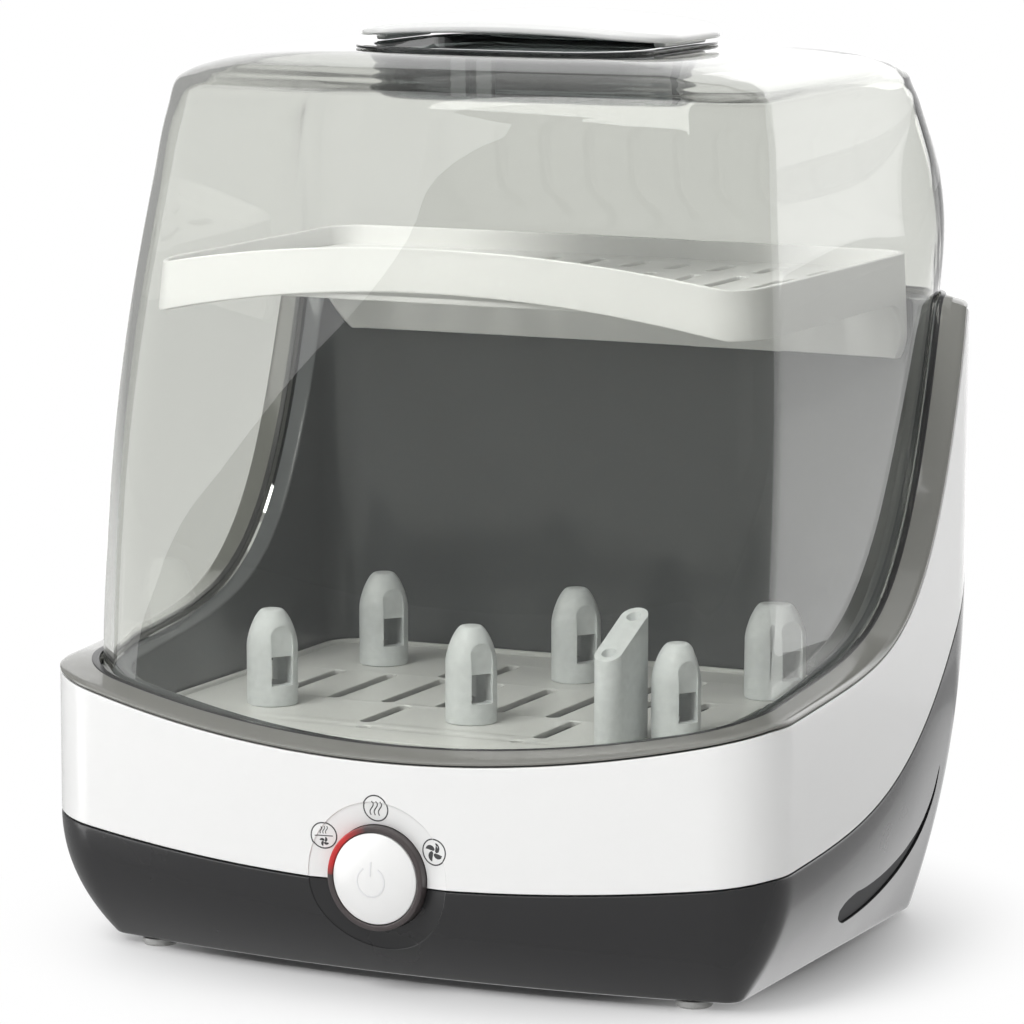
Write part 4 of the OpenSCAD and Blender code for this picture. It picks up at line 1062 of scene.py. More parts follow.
@dataclass
class Controls(Subassembly):
    """The push button with its light ring, and the marks round it."""

    housing: Housing
    cap_side: float = 9.0
    dome: float = 3.4
    proud: float = 4.6
    lens: tuple[float, float] = (0.3, 2.3)
    stem_r: float = 4.0
    mark_out: float = 24.4
    mark_r: float = 4.6
    mark_at: tuple[float, float, float] = (91, 148, 27)
    ink: float = 0.08
    power_r: float = 5.2
    power_gap: float = 32.0
    power_line: float = 0.7
    power_proud: float = 0.16

    @property
    def sphere_r(self) -> float:
        """Radius of the sphere whose cap, dome high, closes the button."""
        return (self.form.button_r**2 + self.dome**2) / (2 * self.dome)

    def dome_y(self, x: Array, z: Array) -> Array:
        """Depth of the button's dome, part of a sphere."""
        big = self.sphere_r
        rho2 = x**2 + (z - self.form.button_z) ** 2
        return self.form.front - self.proud + big - np.sqrt(big * big - rho2)

    def button(self) -> bpy.types.Object:
        """The white cap and its stem."""
        f, r, big = self.form, self.form.button_r, self.sphere_r
        edge = f.front - self.proud + self.dome
        t = np.linspace(0, math.asin((r - 0.6) / big), 16)[::-1]
        cap = np.c_[big * np.sin(t), self.dome - big + big * np.cos(t)]
        rows = np.vstack([rounded([(0.01, -self.cap_side), (r, -self.cap_side), (r, 0), cap[0]],
                                  [0, 0.4, 0.5, 0], 5)[:-1], cap])
        rows[0, 0] = 0
        mesh = Mesh().revolve(rows, 120, facing_front(edge, f.button_z))
        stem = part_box("power_button")[1].y / MM
        rows = rod(self.stem_r, 0, stem - edge - self.cap_side + 1)
        return mesh.revolve(rows, 36, facing_front(stem, f.button_z)).make("power_button_skin")

    def ring(self) -> bpy.types.Object:
        """The light ring: a lens with rounded front edges."""
        f = self.form
        inner, outer = (f.button_r + gap for gap in self.lens)
        low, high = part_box("light_ring")
        depth = (high.y - low.y) / MM
        rows = rounded([((inner + outer) / 2, 0), (inner, 0), (inner, depth), (outer, depth), (outer, 0),
                        ((inner + outer) / 2, 0)], [0, 0, 0.6, 0.7, 0, 0], 6)[:-1]
        return Mesh().revolve(rows, 120, facing_front(high.y / MM, f.button_z)).make("light_ring_skin")

    def line(self, path: Array, width: Array | float, proud: float, skin: Callable[[Array, Array], Array],
             closed: bool = False, mesh: Mesh | None = None) -> Mesh:
        """A thin raised line that follows a path on a curved face.

        Across the path the section is a low arch from -1 to 1 times half the width.

        Args:
            path: Points of x and z.
            width: Its width, one value or one for each point.
            proud: How far it stands out.
            skin: Depth of the face at x and z.
            closed: True if the path is a loop.
            mesh: The mesh to add to.

        Returns:
            The mesh.
        """
        step = np.roll(path, -1, 0) - np.roll(path, 1, 0) if closed else np.gradient(path, axis=0)
        side = np.c_[-step[:, 1], step[:, 0]] / np.linalg.norm(step, axis=1)[:, None]
        across = np.array([-1, -1, -0.8, -0.4, 0.4, 0.8, 1, 1])
        raise_by = np.array([-0.3, 0.2, 0.9, 1, 1, 0.9, 0.2, -0.3])
        half = np.broadcast_to(np.asarray(width) / 2, len(path))[:, None, None]
        p = path[:, None, :] + side[:, None, :] * across[None, :, None] * half
        y = skin(p[..., 0].ravel(), p[..., 1].ravel()).reshape(p.shape[:2]) - proud * raise_by
        return (mesh or Mesh()).loft(np.stack([p[..., 0], y, p[..., 1]], -1), closed=closed)

    def spot(self, angle: float) -> Array:
        """Centre of a mark at that angle round the button, in degrees from +X up."""
        t = math.radians(angle)
        return np.array([self.mark_out * math.cos(t), self.form.button_z + self.mark_out * math.sin(t)])

    def draw(self, mesh: Mesh, path: Array, width: Array | float, closed: bool = False) -> None:
        """Adds a printed line on the housing's front."""
        self.line(path, width, self.ink, self.housing.face_y, closed, mesh)

    def wave(self, centre: Array, height: float) -> Array:
        """A steam line: half a sine's swing to each side of its height."""
        s = np.linspace(-0.5, 0.5, 24)
        return centre + np.c_[0.1 * height * np.sin(2 * math.pi * s) + 0.16 * height * s, height * s]

    def blades(self, mesh: Mesh, centre: Array, size: float) -> None:
        """Four bent teardrops round a centre, a fan's blades."""
        s = np.linspace(0.16, 1, 14)
        for k in range(4):
            t = math.pi * k / 2 + 1.3 * s
            path = centre + size * np.c_[s * np.cos(t), s * np.sin(t)]
            self.draw(mesh, path, size * 0.5 * np.sin(math.pi * s**1.2) ** 0.8 + 0.06)

    def marks(self) -> bpy.types.Object:
        """The printed marks: steam, steam and fan, and fan, each in a thin circle."""
        t = np.linspace(0, 2 * math.pi, 64, endpoint=False)
        ring, mesh = self.mark_r * np.c_[np.cos(t), np.sin(t)], Mesh()
        steam, both, fan = (self.spot(angle) for angle in self.mark_at)
        for centre in (steam, both, fan):
            self.draw(mesh, centre + ring, 0.48, closed=True)
        for dx in (-1.6, 0, 1.6):
            self.draw(mesh, self.wave(steam + [dx, 0], 5.2), 0.4)
            self.draw(mesh, self.wave(both + [dx * 0.62, 2.0], 2.7), 0.3)
        self.draw(mesh, both + np.c_[np.linspace(-3.2, 3.2, 12), np.full(12, -0.1)], 0.36)
        self.blades(mesh, both + [0, -2.2], 1.7)
        self.blades(mesh, fan, 3.5)
        return mesh.make("printed_marks")

    def symbol(self) -> bpy.types.Object:
        """The raised power mark on the cap."""
        t = np.radians(np.linspace(90 + self.power_gap, 450 - self.power_gap, 60))
        arc = [0, self.form.button_z - 0.4] + self.power_r * np.c_[np.cos(t), np.sin(t)]
        bar = np.c_[np.zeros(12), self.form.button_z + np.linspace(1.6, 6.6, 12)]
        mesh = Mesh()
        for path in (arc, bar):
            self.line(path, self.power_line, self.power_proud, self.dome_y, mesh=mesh)
        return mesh.make("power_mark")

    def build(self) -> None:
        """Builds the button, its ring and the marks."""
        dress(self.button(), Look.white_plastic, Body.BUTTON, node="power_button")
        # The raised mark wears a greyer copy of the cap's white, painted shade
        dress(self.symbol(), Look.emboss_grey, Body.BUTTON, slot="white_plastic")
        dress(self.ring(), Look.ring_lens, Body.BASE, node="light_ring")
        dress(self.marks(), Look.print_grey, Body.BASE, slot="charcoal_plastic")


@dataclass
class Chamber(Subassembly):
    """The dark inner chamber that the heating plate closes from below."""

    n: Counts = Counts(30, 14, 60, 20)
    flange_e: float = 11.7
    flange_top: float = 0.9
    liner_e: float = 20.7
    t: float = 2.4
    step_z: float = 80.0
    floor_z: float = 58.0
    hole_r: float = 66.0
    centre: tuple[float, float] = (0.0, -12.7)
    boss_r: float = 4.0
    boss_x: float = 98.0
    boss_y: tuple[float, float, float] = (-59.7, 6.3, 72.3)
    boss_z: tuple[float, float] = (5.7, 56.7)
    neck_r: float = 13.0
    neck_at: tuple[float, float] = (76, 48.3)

    def hole_ring(self, z: float) -> Array:
        """The plate's round hole, its points in the direction of the outline's."""
        d = self.form.plan_at(self.liner_e + 11).outline(self.n) - self.centre
        p = self.centre + d * self.hole_r / np.linalg.norm(d, axis=1)[:, None]
        return np.c_[p, np.full(len(p), z)]

    def build(self) -> None:
        """Builds the chamber: a flange on the rim, a leaning wall, a step, a floor and six screw bosses."""
        f, n, t = self.form, self.n, self.t

        def rim(e: float, d: float) -> Array:
            return f.rim_ring(e, d, n)

        def level(e: float, z: float) -> Array:
            return f.level_ring(e, z, n)

        step, well, top = self.liner_e + 1.5, self.liner_e + 5, self.flange_top
        wall_top, wall_low = rim(self.liner_e, top - 1.6), level(step, self.step_z + 2)
        under_top, under_low = rim(self.liner_e - t, top - t), level(step - t, self.step_z - t)
        flange = [rim(7, -1.9), rim(self.flange_e, -1.9), rim(self.flange_e, top), rim(self.liner_e, top)]
        rings = list(stack(flange + [wall_top], [0, 0, 0.5, 1.4, 0], 7))
        rings += between(wall_top, wall_low, 14)
        shelf, floor = self.step_z, self.floor_z
        inside = [wall_low, level(step, shelf), level(well, shelf), level(well + 2.6, floor + 2.5),
                  level(well + 6, floor), self.hole_ring(floor)]
        outside = [self.hole_ring(floor - t), level(well + 5, floor - t), level(well - 2, shelf - t),
                   under_low]
        rings += list(stack(inside + outside, [0, 1.0, 0.9, 2.5, 3, 0.4, 0, 0, 0, 0], 5))
        rings += between(under_low, under_top, 4)
        rings += [under_top, rim(self.flange_e + 1.6, top - t), rim(self.flange_e + 1.4, -3.8)]
        rings += [rim(3.2, -3.8), rim(3.2, -1.9)]
        mesh = Mesh().loft(np.stack(rings))
        for x in (-self.boss_x, self.boss_x):
            for y in self.boss_y:
                mesh.revolve(rod(self.boss_r, *self.boss_z), 24, lambda p, x=x, y=y: p + [x, y, 0])
        obj = mesh.make("chamber_skin")
        neck = rod(self.neck_r, floor - 10, floor + 10)
        cut_away(obj, [Mesh().revolve(neck, 48, lambda p: p + [*self.neck_at, 0]).make("neck_cutter")])
        dress(obj, Look.inner_charcoal, Body.BASE, node="chamber_liner")


@dataclass
class Lid(Subassembly):
    """The clear dome with its finger dish and handle plate."""

    n: Counts = Counts(40, 22, 46, 26)
    seat: float = 1.6
    lean: tuple[float, float, float] = (10.5, 31.0, 11.0)
    shoulder: float = 304.5
    rear_rise: float = 2.5
    crown: float = 15.5
    taper: float = 0.035
    swell: float = 5.0
    t: float = 2.5
    dish: Plan = Plan(54, -31.7, 68.3, 3, 3, 28, 28)
    rim_z: float = 318.92
    dish_drop: float = 12.5
    handle: Plan = Plan(62, -17.7, 58.3, 4, 4, 22, 22)
    handle_z: float = 322.12
    handle_crown: float = 5.0
    foot_t: float = 4.8
    foot_y: tuple[float, float] = (2.3, 38.3)
    wall_shares: tuple[float, ...] = (0, 0.18, 0.38, 0.6, 0.82, 0.97)
    top_steps: tuple[tuple[float, float], ...] = ((0.982, 0.27), (0.945, 0.46), (0.885, 0.63), (0.8, 0.78))

    @property
    def top(self) -> Plan:
        """Plan of the shoulder."""
        e, (side, front, rear) = self.form.edge, self.lean
        return Plan(e.half_w - side, e.front + front, e.rear - rear, 8, 3, 24, 20)

    def shoulder_ring(self, t: float, scale: float, share: float, down: float) -> Array:
        """A ring of the top: the shoulder's outline scaled about its middle.

        The plan widens to the rear, and the height goes from the shoulder to the crown
        by the share given.
        """
        top = self.top
        cy, half = (top.front + top.rear) / 2, (top.rear - top.front) / 2
        p = top.inset(t).outline(self.n)
        back = (p[:, 1] - cy) / half
        p = np.c_[p[:, 0] * (1 + self.taper * back), p[:, 1]]
        p = [0, cy] + (p - [0, cy]) * scale
        z = self.shoulder + self.rear_rise * (1 + (p[:, 1] - cy) / half) / 2
        return np.c_[p, z * (1 - share) + (self.shoulder + self.crown) * share - down]

    def wall_ring(self, v: float, t: float) -> Array:
        """A ring of the wall, v of the way up and t inside its outer face, swelled by a sine."""
        s = t - self.swell * math.sin(math.pi * v)
        low = self.form.rim.ring(self.form.edge.inset(s).outline(self.n), self.seat)
        return low * (1 - v) + self.shoulder_ring(s, 1, 0, 0) * v

    def dish_ring(self, e: float, z: float) -> Array:
        """Level ring at inset e of the dish's plan."""
        p = self.dish.inset(e).outline(self.n)
        return np.c_[p, np.full(len(p), z)]

    def skin(self, t: float) -> Array:
        """The dome's outer or inner face, a smooth stack of rings from its edge to the dish's mouth."""
        rings = [self.wall_ring(v, t) for v in self.wall_shares]
        tops = [self.shoulder_ring(t, scale, share, t) for scale, share in self.top_steps]
        mouth = self.dish_ring(0, self.rim_z - t)
        return spline(np.stack(rings + tops + [(tops[-1] + mouth) / 2 + [0, 0, 0.9], mouth]), 7)

    def shell(self) -> bpy.types.Object:
        """The clear dome: its outer face, and its inner face back down to the lower edge."""
        return Mesh().loft(np.concatenate([self.skin(0), self.skin(self.t)[::-1]])).make("lid_skin")

    def dish_obj(self) -> bpy.types.Object:
        """The smoke finger dish that hangs in the dome's mouth by its lip."""
        z, gap, t, lip = self.rim_z, 0.3, 2.0, 3.5
        floor, ring = z - self.dish_drop, self.dish_ring
        below = [ring(14, floor - t), ring(6, floor - t + 0.8), ring(1.5, floor + 6), ring(gap, z - 3),
                 ring(gap, z + gap), ring(-lip, z + gap)]
        above = [ring(-lip, z + 1.3), ring(t + gap, z + 1.3), ring(t + 1.5, floor + 6),
                 ring(t + 6, floor + 0.8), ring(t + 14, floor)]
        rings = stack(below + above, [0, 4, 2, 1, 0, 0.4, 0.6, 1.0, 3, 5, 0], 6)
        return Mesh().loft(rings, closed=False).make("finger_dish_skin")

    def handle_ring(self, e: float, c: float, up: float, scale: float = 1.0) -> Array:
        """A ring of the handle plate at inset e, crowned across its width by a parabola times c."""
        p = self.handle.inset(e).outline(self.n)
        p = p.mean(0) + (p - p.mean(0)) * scale
        bend = self.handle_crown * c * (1 - (p[:, 0] / self.handle.half_w) ** 2)
        return np.c_[p, self.handle_z + up + bend]

    def handle_obj(self) -> bpy.types.Object:
        """The white handle plate on its two feet."""
        ring = self.handle_ring
        rings = [ring(6, 0.6, 0, k) for k in (0.06, 0.35, 0.7)]
        section = ((6, 0.6, 0), (0, 0.6, 0), (0, 0.7, 2.0), (1.2, 0.82, 3.1), (6, 0.95, 3.4))
        edge = [ring(*row) for row in section]
        rings += list(stack(edge, [0, 1.4, 0.5, 0.9, 0], 6))
        rings += [ring(6, 0.95 + 0.05 * k, 3.4 + 0.2 * k, 1 - k) for k in (0.15, 0.32, 0.52, 0.74, 0.94)]
        mesh = Mesh().loft(np.stack(rings), closed=False)
        foot_x, z, (front, rear) = self.dish.half_w - 1.8, self.rim_z + 1.6, self.foot_y
        for side in (-1, 1):
            low, high = sorted((side * foot_x, side * (foot_x + self.foot_t)))
            mesh.loft(box_skin((low, front, z), (high, rear, self.handle_z + 1.6), 1.0), closed=False)
        return mesh.make("handle_skin")

    def build(self) -> None:
        """Builds the dome, the dish and the handle plate."""
        dress(self.shell(), Look.clear_lid, Body.LID, node="lid_shell")
        dress(self.dish_obj(), Look.smoke_dish, Body.LID, node="finger_dish")
        dress(self.handle_obj(), Look.white_plastic, Body.LID, node="handle_plate")


@dataclass
class Tray(Subassembly):
    """The white upper tray: a band, arched over its front, round a slotted floor."""

    n: Counts = Counts(36, 14, 40, 20)
    plan: Plan = Plan(117.5, -70.7, 91.8, 8, 3, 17, 13)
    top: float = 244.0
    band: float = 17.5
    arch: float = 10.0
    t: float = 2.2
    draft: float = 1.2
    floor_h: float = 2.2
    floor_drop: float = 7.0
    slot_w: float = 5.0
    slot_pitch: float = 18.0
    slot_count: int = 11
    slot_rows: tuple[tuple[float, float], ...] = ((-38, 44), (18, 44), (62, 22))
    skirt: float = 22.0
    lip_half_w: float = 90.0
    lip_t: float = 2.4

    def ring(self, e: float, upper: bool, d: float) -> Array:
        """A ring of the band's upper or lower edge: level, arched at the front, lower at the rear."""
        f, base = self.form, self.plan.outline(self.n)
        x, y = base[:, 0], base[:, 1]
        arch = np.clip(1 - (x / (self.plan.half_w - 8)) ** 2, 0, None)
        arch = arch * np.clip((f.mid_y - 10 - y) / 50, 0, 1)
        skirt = self.skirt * np.clip((y - f.mid_y - 60) / 25, 0, 1) ** 2
        z = self.top + self.arch * arch if upper else self.top - self.band + (self.arch + 2) * arch - skirt
        return np.c_[self.plan.inset(e).outline(self.n), z + d]

    def build(self) -> None:
        """Builds the band, the floor and the lip that lies on the rim at the rear."""
        f, ring = self.form, self.ring
        low, high = ring(0, False, 0.8), ring(self.draft, True, -1.2)
        inner_high, inner_low = ring(self.draft + self.t, True, -1.2), ring(self.t, False, 0.8)
        rings = [ring(self.t / 2, False, 0)]
        rings += list(stack([ring(self.t / 2, False, 0), ring(0, False, 0), low], [0, 0.6, 0], 4))[1:]
        rings += between(low, high, 3)
        edge = [high, ring(self.draft, True, 0), ring(self.draft + self.t, True, 0), inner_high]
        rings += list(stack(edge, [0, 0.8, 0.8, 0], 5))
        rings += between(inner_high, inner_low, 3)
        edge = [inner_low, ring(self.t, False, 0), ring(self.t / 2, False, 0)]
        rings += list(stack(edge, [0, 0.6, 0], 4))[:-1]
        mesh = Mesh().loft(np.stack(rings))
        middle = (self.slot_count - 1) / 2
        slots = [slot_outline((k - middle) * self.slot_pitch, f.mid_y + y, length, self.slot_w)
                 for y, length in self.slot_rows for k in range(self.slot_count)]
        floor = plate("tray_floor", [self.plan.inset(self.draft + 0.6).outline(self.n)] + slots,
                      self.top - self.floor_drop - self.floor_h, self.floor_h, 0.5)
        mesh.add(floor.verts[0], floor.faces)
        half, rear, z = self.lip_half_w, self.plan.rear, f.rim.z_rear + 1.2
        mesh.loft(box_skin((-half, rear - 5, z), (half, rear + 6, z + self.lip_t), 0.9), False)
        dress(mesh.make("upper_tray_skin"), Look.tray_plastic, Body.TRAY, node="upper_tray")


@dataclass
class Rack(Subassembly):
    """The slotted bottle rack with its posts."""

    n: Counts = Counts(30, 14, 40, 20)
    e: float = 23.4
    z: float = 80.3
    t: float = 2.4
    lip: float = 1.6
    slot_w: float = 5.0
    pitch_x: float = 80.0
    post_y: tuple[float, float] = (-35.7, 52.3)
    post_r: float = 9.2
    post_h: float = 34.5
    tip: float = 3.4
    ogive: float = 13.0
    ogive_power: float = 1.35
    post_wall: float = 3.8
    pocket_half: float = 4.3
    pocket_z: tuple[float, float] = (7.5, 24.7)
    window_top: float = 18.0
    seat_gap: float = 0.1
    turn: float = -35.0

    def rack(self) -> bpy.types.Object:
        """The plate: rows of drain slots, two round holes and a low lip round its edge."""
        f, half, (front, rear) = self.form, self.pitch_x / 2, self.post_y
        # Each row's y, the x of its middle, how many slots, their length and their pitch
        rows = [(f.mid_y + 6, 0, 9, 50, 22), (rear, half, 2, 34, 14), (rear, -half, 2, 34, 14),
                (front, half - 6, 1, 34, 14), (front, 6 - half, 1, 34, 14)]
        slots = [slot_outline(x + (k - (count - 1) / 2) * pitch, y, length, self.slot_w)
                 for y, x, count, length, pitch in rows for k in range(count)]
        slots += [slot_outline(side * (half - 10), front - 25, self.slot_w + 0.01, self.slot_w)
                  for side in (-1, 1)]
        outer = f.plan_at(self.e)
        mesh = plate("rack_plate", [outer.outline(self.n)] + slots, self.z, self.t, 0.45)
        top = self.t + self.lip
        corners = [(1, 0.3), (0.02, 0.3), (0.02, top), (2, top), (2, self.t - 0.2), (1.5, 0.3)]
        rings = []
        for e, d in rounded(corners, [0, 0.3, 0.7, 0.7, 0.2, 0], 5):
            p = outer.inset(e).outline(self.n)
            rings.append(np.c_[p, np.full(len(p), self.z + d)])
        return mesh.loft(np.stack(rings)).make("bottle_rack_skin")

    def post(self) -> bpy.types.Object:
        """One post at the origin: an ogive with arched pockets and a window through its lower part."""
        t = np.radians(np.linspace(0, 78, 16))
        power, r, top = self.ogive_power, self.post_r, self.post_h
        out, up = self.tip + (r - self.tip) * np.cos(t) ** power, top - self.ogive * (1 - np.sin(t) ** power)
        arc = np.c_[out, up]
        rows = rounded(np.vstack([[(0, 0), (r, 0)], arc, [(self.tip, top), (0, top)]]),
                       [0, 0.5] + [0] * 16 + [0.5, 0], 4)
        rows[0, 0] = rows[-1, 0] = 0
        obj = Mesh().revolve(rows, 72).make("post")
        wall = r - self.post_wall
        bore = np.array([(0, -1), (wall, -1), (wall, 18), (self.tip - 1, 31), (0, 31)], float)
        t = np.linspace(0, math.pi, 25)
        half, (foot, head) = self.pocket_half, self.pocket_z
        arch = np.vstack([np.c_[half * np.cos(t), head + half * np.sin(t)], [[-half, foot], [half, foot]]])
        wide, sill, lintel = half - 0.15, foot + 0.15, self.window_top
        corners = [(wide, 12), (wide, sill), (-wide, sill), (-wide, lintel), (wide, lintel), (wide, 12)]
        window = rounded(corners, [0, 0.6, 0.6, 0.6, 0.6, 0], 4)[:-1]
        cutters = [Mesh().revolve(bore, 47).make("bore_cutter")]
        for side in (-1, 1):
            cutters.append(prism(arch, lambda p, s=side: np.c_[s * (r - 2 + p[:, 2]), p[:, :2]], 6)
                           .make("pocket_cutter"))
        cutters.append(prism(window, lambda p: np.c_[p[:, 2] - 12, p[:, :2]], 24).make("window_cutter"))
        cut_away(obj, cutters, 50)
        return obj

    def posts(self) -> bpy.types.Object:
        """The six posts, copies of one, turned towards the front corner."""
        verts, tris = triangles(self.post())
        turn = math.radians(self.turn)
        c, s = math.cos(turn), math.sin(turn)
        spin = np.array([[c, s, 0], [-s, c, 0], [0, 0, 1]])
        mesh = Mesh()
        for x in (-self.pitch_x, 0, self.pitch_x):
            for y in self.post_y:
                mesh.add(verts @ spin + [x, y, self.z + self.t + self.seat_gap], [tris])
        return mesh.make("bottle_posts_skin", 50)

    def build(self) -> None:
        """Builds the rack and its posts."""
        # The rack wears a darker copy of the tray's white, painted shade
        dress(self.rack(), Look.rack_plastic, Body.RACK, slot="tray_plastic", node="bottle_rack")
        dress(self.posts(), Look.frosted_post, Body.RACK, node="bottle_posts")


@dataclass
class Feet(Subassembly):
    """The four rubber feet."""

    r: float = 6.5
    stem_r: float = 2.5
    x: float = 104.5
    y: tuple[float, float] = (-76.7, 82.3)

    def build(self) -> None:
        """Builds each foot as a turned disc with an eased lower edge and a stem."""
        h, r = self.form.foot_h, self.r
        disc = [(0, 0), (r - 0.6, 0), (r, 0.8), (r, h - 0.2)]
        stem = [(self.stem_r, h - 0.2), (self.stem_r, h + 3), (0, h + 3)]
        rows = rounded(disc + stem, [0, 0.4, 0.4, 0.2, 0, 0, 0], 5)
        rows[0, 0] = rows[-1, 0] = 0
        mesh = Mesh()
        for x in (self.x, -self.x):
            for y in self.y:
                mesh.revolve(rows, 64, lambda p, x=x, y=y: p + [x, y, 0])
        dress(mesh.make("rubber_feet_skin"), Look.soft_rubber, Body.BASE, node="rubber_feet")


@dataclass
class FramePieces:
    """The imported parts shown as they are, with a finish and eased edges."""

    frame: dict
    edge: float = 0.25
    weld: float = 0.02
    sharp: float = 40.0

    def build(self) -> None:
        """Gives each part the finish of its material slot, and a small bevel if it shows."""
        slots = {part["node"]: part["material_slot"] for part in self.frame["record"]["subparts"]}
        for name, obj in self.frame["nodes"].items():
            obj.data.materials.clear()
            obj.data.materials.append(Look[slots[name]].material())
            if not obj.hide_render:
                self.ease(obj)
            LOG.info("%s wears %s", name, slots[name])

    def ease(self, obj: bpy.types.Object) -> None:
        """Welds a part's doubled points and rounds its sharp edges a little."""
        weld = obj.modifiers.new("weld", "WELD")
        weld.merge_threshold = self.weld * MM
        bevel = obj.modifiers.new("bevel", "BEVEL")
        bevel.limit_method, bevel.angle_limit = "ANGLE", math.radians(self.sharp)
        bevel.width, bevel.segments = self.edge * MM, 2
        bevel.harden_normals = True


# ---------------------------------------------------------------- studio
def after_bounce(tree: bpy.types.NodeTree, kinds: Sequence[str]) -> bpy.types.NodeSocket:
    """A value that is 1 once a ray has bounced in one of the named ways, and 0 before.

    Args:
        tree: The node tree.
        kinds: "Diffuse", "Glossy" or both.

    Returns:
        The value's socket.
    """
    path = tree.nodes.new("ShaderNodeLightPath")
    value = path.outputs[kinds[0] + " Depth"]
    for kind in kinds[1:]:
        both = tree.nodes.new("ShaderNodeMath")
        tree.links.new(value, both.inputs[0])
        tree.links.new(path.outputs[kind + " Depth"], both.inputs[1])
        value = both.outputs[0]
    step = tree.nodes.new("ShaderNodeMath")
    step.operation = "GREATER_THAN"
    step.inputs[1].default_value = 0.5
    tree.links.new(value, step.inputs[0])
    return step.outputs[0]


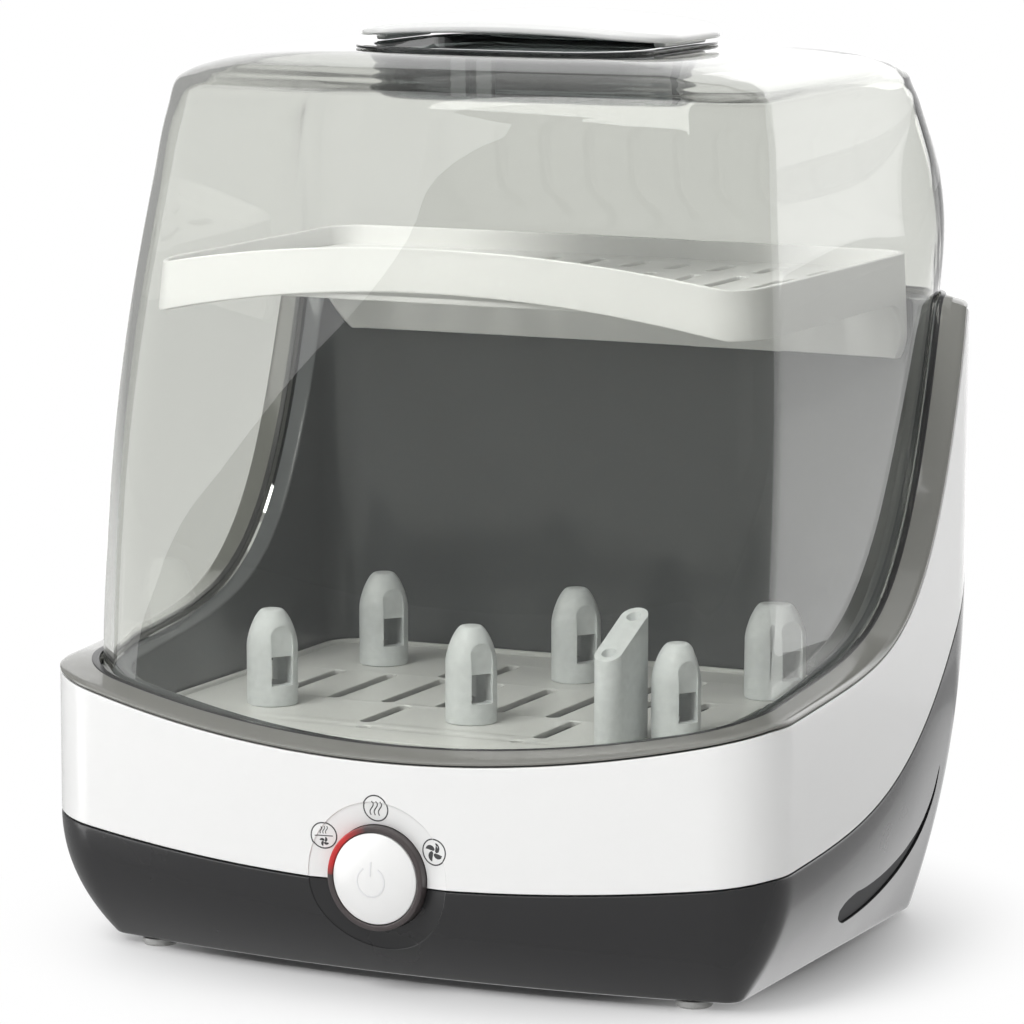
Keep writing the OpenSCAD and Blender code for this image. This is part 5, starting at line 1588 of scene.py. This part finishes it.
@dataclass
class Studio:
    """A pale floor, soft lamps, a white world and the camera."""

    target: Vector = field(default_factory=lambda: Vector((0.033, -0.0717, 0.165)))
    azimuth: float = 25.7
    elevation: float = 8.8
    distance: float = 1.745
    lens: float = 178.6
    light: float = 0.38
    mirror: float = 0.45
    near: float = 0.1
    far: float = 0.21
    floor_r: float = 9000.0
    floor_z: tuple[float, float] = (-20.0, -0.05)
    lamps: tuple = (
        # name, place in metres, size, power, whether glossy faces mirror it
        ("key", (-0.5, -1.7, 2.2), (1.2, 1.6), 52, False),
        ("fill", (2.2, -0.6, 1.0), (1.0, 1.4), 1, False),
        ("top", (0.0, 0.3, 2.2), (2.0, 2.0), 6, True),
        ("rear", (0.4, 2.1, 0.9), (2.2, 1.4), 8, True),
    )
    cards: tuple = (
        # name, corners in metres, strength
        ("soft_box", ((0.5, -2.5, 2.6), (-4.16, -2.5, -1.7), (-7.0, -2.5, -1.7), (-7.0, -2.5, 2.6)), 3.0),
        ("flank_card", ((-0.6, 0.5, -0.02), (0.29, 0.5, -0.02), (0.29, 0.5, -0.5), (-0.6, 0.5, -0.5)), 1.2),
        ("back_card", ((-4.0, 3.0, -0.52), (4.0, 3.0, -0.52), (4.0, 3.0, 3.6), (-4.0, 3.0, 3.6)), 1.5),
    )

    def camera(self) -> None:
        """The camera at the angle the object is best known from."""
        az, el = math.radians(self.azimuth), math.radians(self.elevation)
        way = Vector((math.sin(az) * math.cos(el), -math.cos(az) * math.cos(el), math.sin(el)))
        data = bpy.data.cameras.new("camera")
        data.lens, data.sensor_width = self.lens, 36
        data.clip_start, data.clip_end = 0.1, 50
        obj = shown("camera", data)
        obj.location = self.target + way * self.distance
        obj.rotation_euler = (-way).to_track_quat("-Z", "Y").to_euler()
        bpy.context.scene.camera = obj

    def lamp(self, name: str, place: Sequence[float], size: tuple[float, float], power: float,
             mirrored: bool) -> None:
        """A rectangular soft lamp aimed at the object's middle, mirrored in glossy faces or not."""
        data = bpy.data.lights.new(name, "AREA")
        data.shape, data.size, data.size_y, data.energy = "RECTANGLE", *size, power
        obj = shown(name, data)
        obj.location = place
        obj.rotation_euler = (Vector((0, 0, 0.16)) - obj.location).to_track_quat("-Z", "Y").to_euler()
        obj.visible_glossy = mirrored

    def card(self, name: str, corners: Sequence[Sequence[float]], strength: float) -> None:
        """A glowing card that shows in glossy faces alone, given by its corners in metres."""
        low = np.array(corners, float) / MM
        centre = low.mean(0)
        away = centre / np.linalg.norm(centre) * 10
        obj = Mesh().loft(np.stack([low, low + away]), closed=False).make(name)
        mat, tree, _ = node_tree(name)
        glow = tree.nodes.new("ShaderNodeEmission")
        glow.inputs["Strength"].default_value = strength
        tree.links.new(glow.outputs[0], tree.nodes["Material Output"].inputs["Surface"])
        obj.data.materials.append(mat)
        for ray in ("camera", "diffuse", "transmission", "volume_scatter", "shadow"):
            setattr(obj, "visible_" + ray, False)

    def world(self) -> None:
        """A moderate grey world for the light, and a white one for what is seen or mirrored."""
        world = bpy.data.worlds.new("studio")
        bpy.context.scene.world = world
        world.use_nodes = True
        tree = world.node_tree
        tree.nodes.clear()
        mirrored = ranged(tree, after_bounce(tree, ("Glossy",)), self.light, self.mirror)
        strength = ranged(tree, after_bounce(tree, ("Diffuse", "Glossy")), 1.0, mirrored.outputs["Result"])
        back = tree.nodes.new("ShaderNodeBackground")
        back.inputs["Color"].default_value = (1, 1, 1, 1)
        tree.links.new(strength.outputs["Result"], back.inputs["Strength"])
        out = tree.nodes.new("ShaderNodeOutputWorld")
        tree.links.new(back.outputs[0], out.inputs["Surface"])

    def floor(self) -> None:
        """A white floor that reads as the background but keeps the object's shadow."""
        t = np.linspace(0, 2 * math.pi, 96, endpoint=False)
        disc = np.c_[self.floor_r * np.cos(t), self.floor_r * np.sin(t)]
        rings = np.stack([np.c_[disc, np.full(len(disc), z)] for z in self.floor_z])
        obj = Mesh().loft(rings, closed=False).make("floor")
        mat, tree, shader = node_tree("studio_floor")
        pale = ranged(tree, noise_node(tree, 40, 2).outputs["Fac"], 0.93, 0.95)
        tree.links.new(pale.outputs["Result"], shader.inputs["Base Color"])
        shader.inputs["Roughness"].default_value = 0.6
        coords = tree.nodes.new("ShaderNodeTexCoord")
        reach = tree.nodes.new("ShaderNodeVectorMath")
        reach.operation = "LENGTH"
        tree.links.new(coords.outputs["Object"], reach.inputs[0])
        far = ranged(tree, reach.outputs["Value"], 0.0, 1.0, (self.near, self.far))
        far.interpolation_type = "SMOOTHSTEP"
        bounced = after_bounce(tree, ("Diffuse", "Glossy"))
        plain = ranged(tree, bounced, far.outputs["Result"], 0.0)
        white = tree.nodes.new("ShaderNodeEmission")
        mix = tree.nodes.new("ShaderNodeMixShader")
        tree.links.new(plain.outputs["Result"], mix.inputs[0])
        tree.links.new(shader.outputs[0], mix.inputs[1])
        tree.links.new(white.outputs[0], mix.inputs[2])
        tree.links.new(mix.outputs[0], tree.nodes["Material Output"].inputs["Surface"])
        obj.data.materials.append(mat)
        obj.visible_glossy = False

    def build(self) -> None:
        """Sets the studio up."""
        bpy.context.scene.view_settings.view_transform = "Standard"
        self.world()
        self.floor()
        for lamp in self.lamps:
            self.lamp(*lamp)
        for card in self.cards:
            self.card(*card)
        self.camera()


def main() -> None:
    """Loads the frame, builds each sub-assembly and the studio."""
    logging.basicConfig(level=logging.INFO, format="%(name)s: %(message)s")
    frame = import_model()
    form = Form()
    housing = Housing(form)
    parts = [housing, Controls(form, housing), Chamber(form), Lid(form), Tray(form), Rack(form), Feet(form)]
    for part in parts:
        LOG.info("building %s", type(part).__name__)
        part.build()
    FramePieces(frame).build()
    Studio().build()


if __name__ == "__main__":
    main()
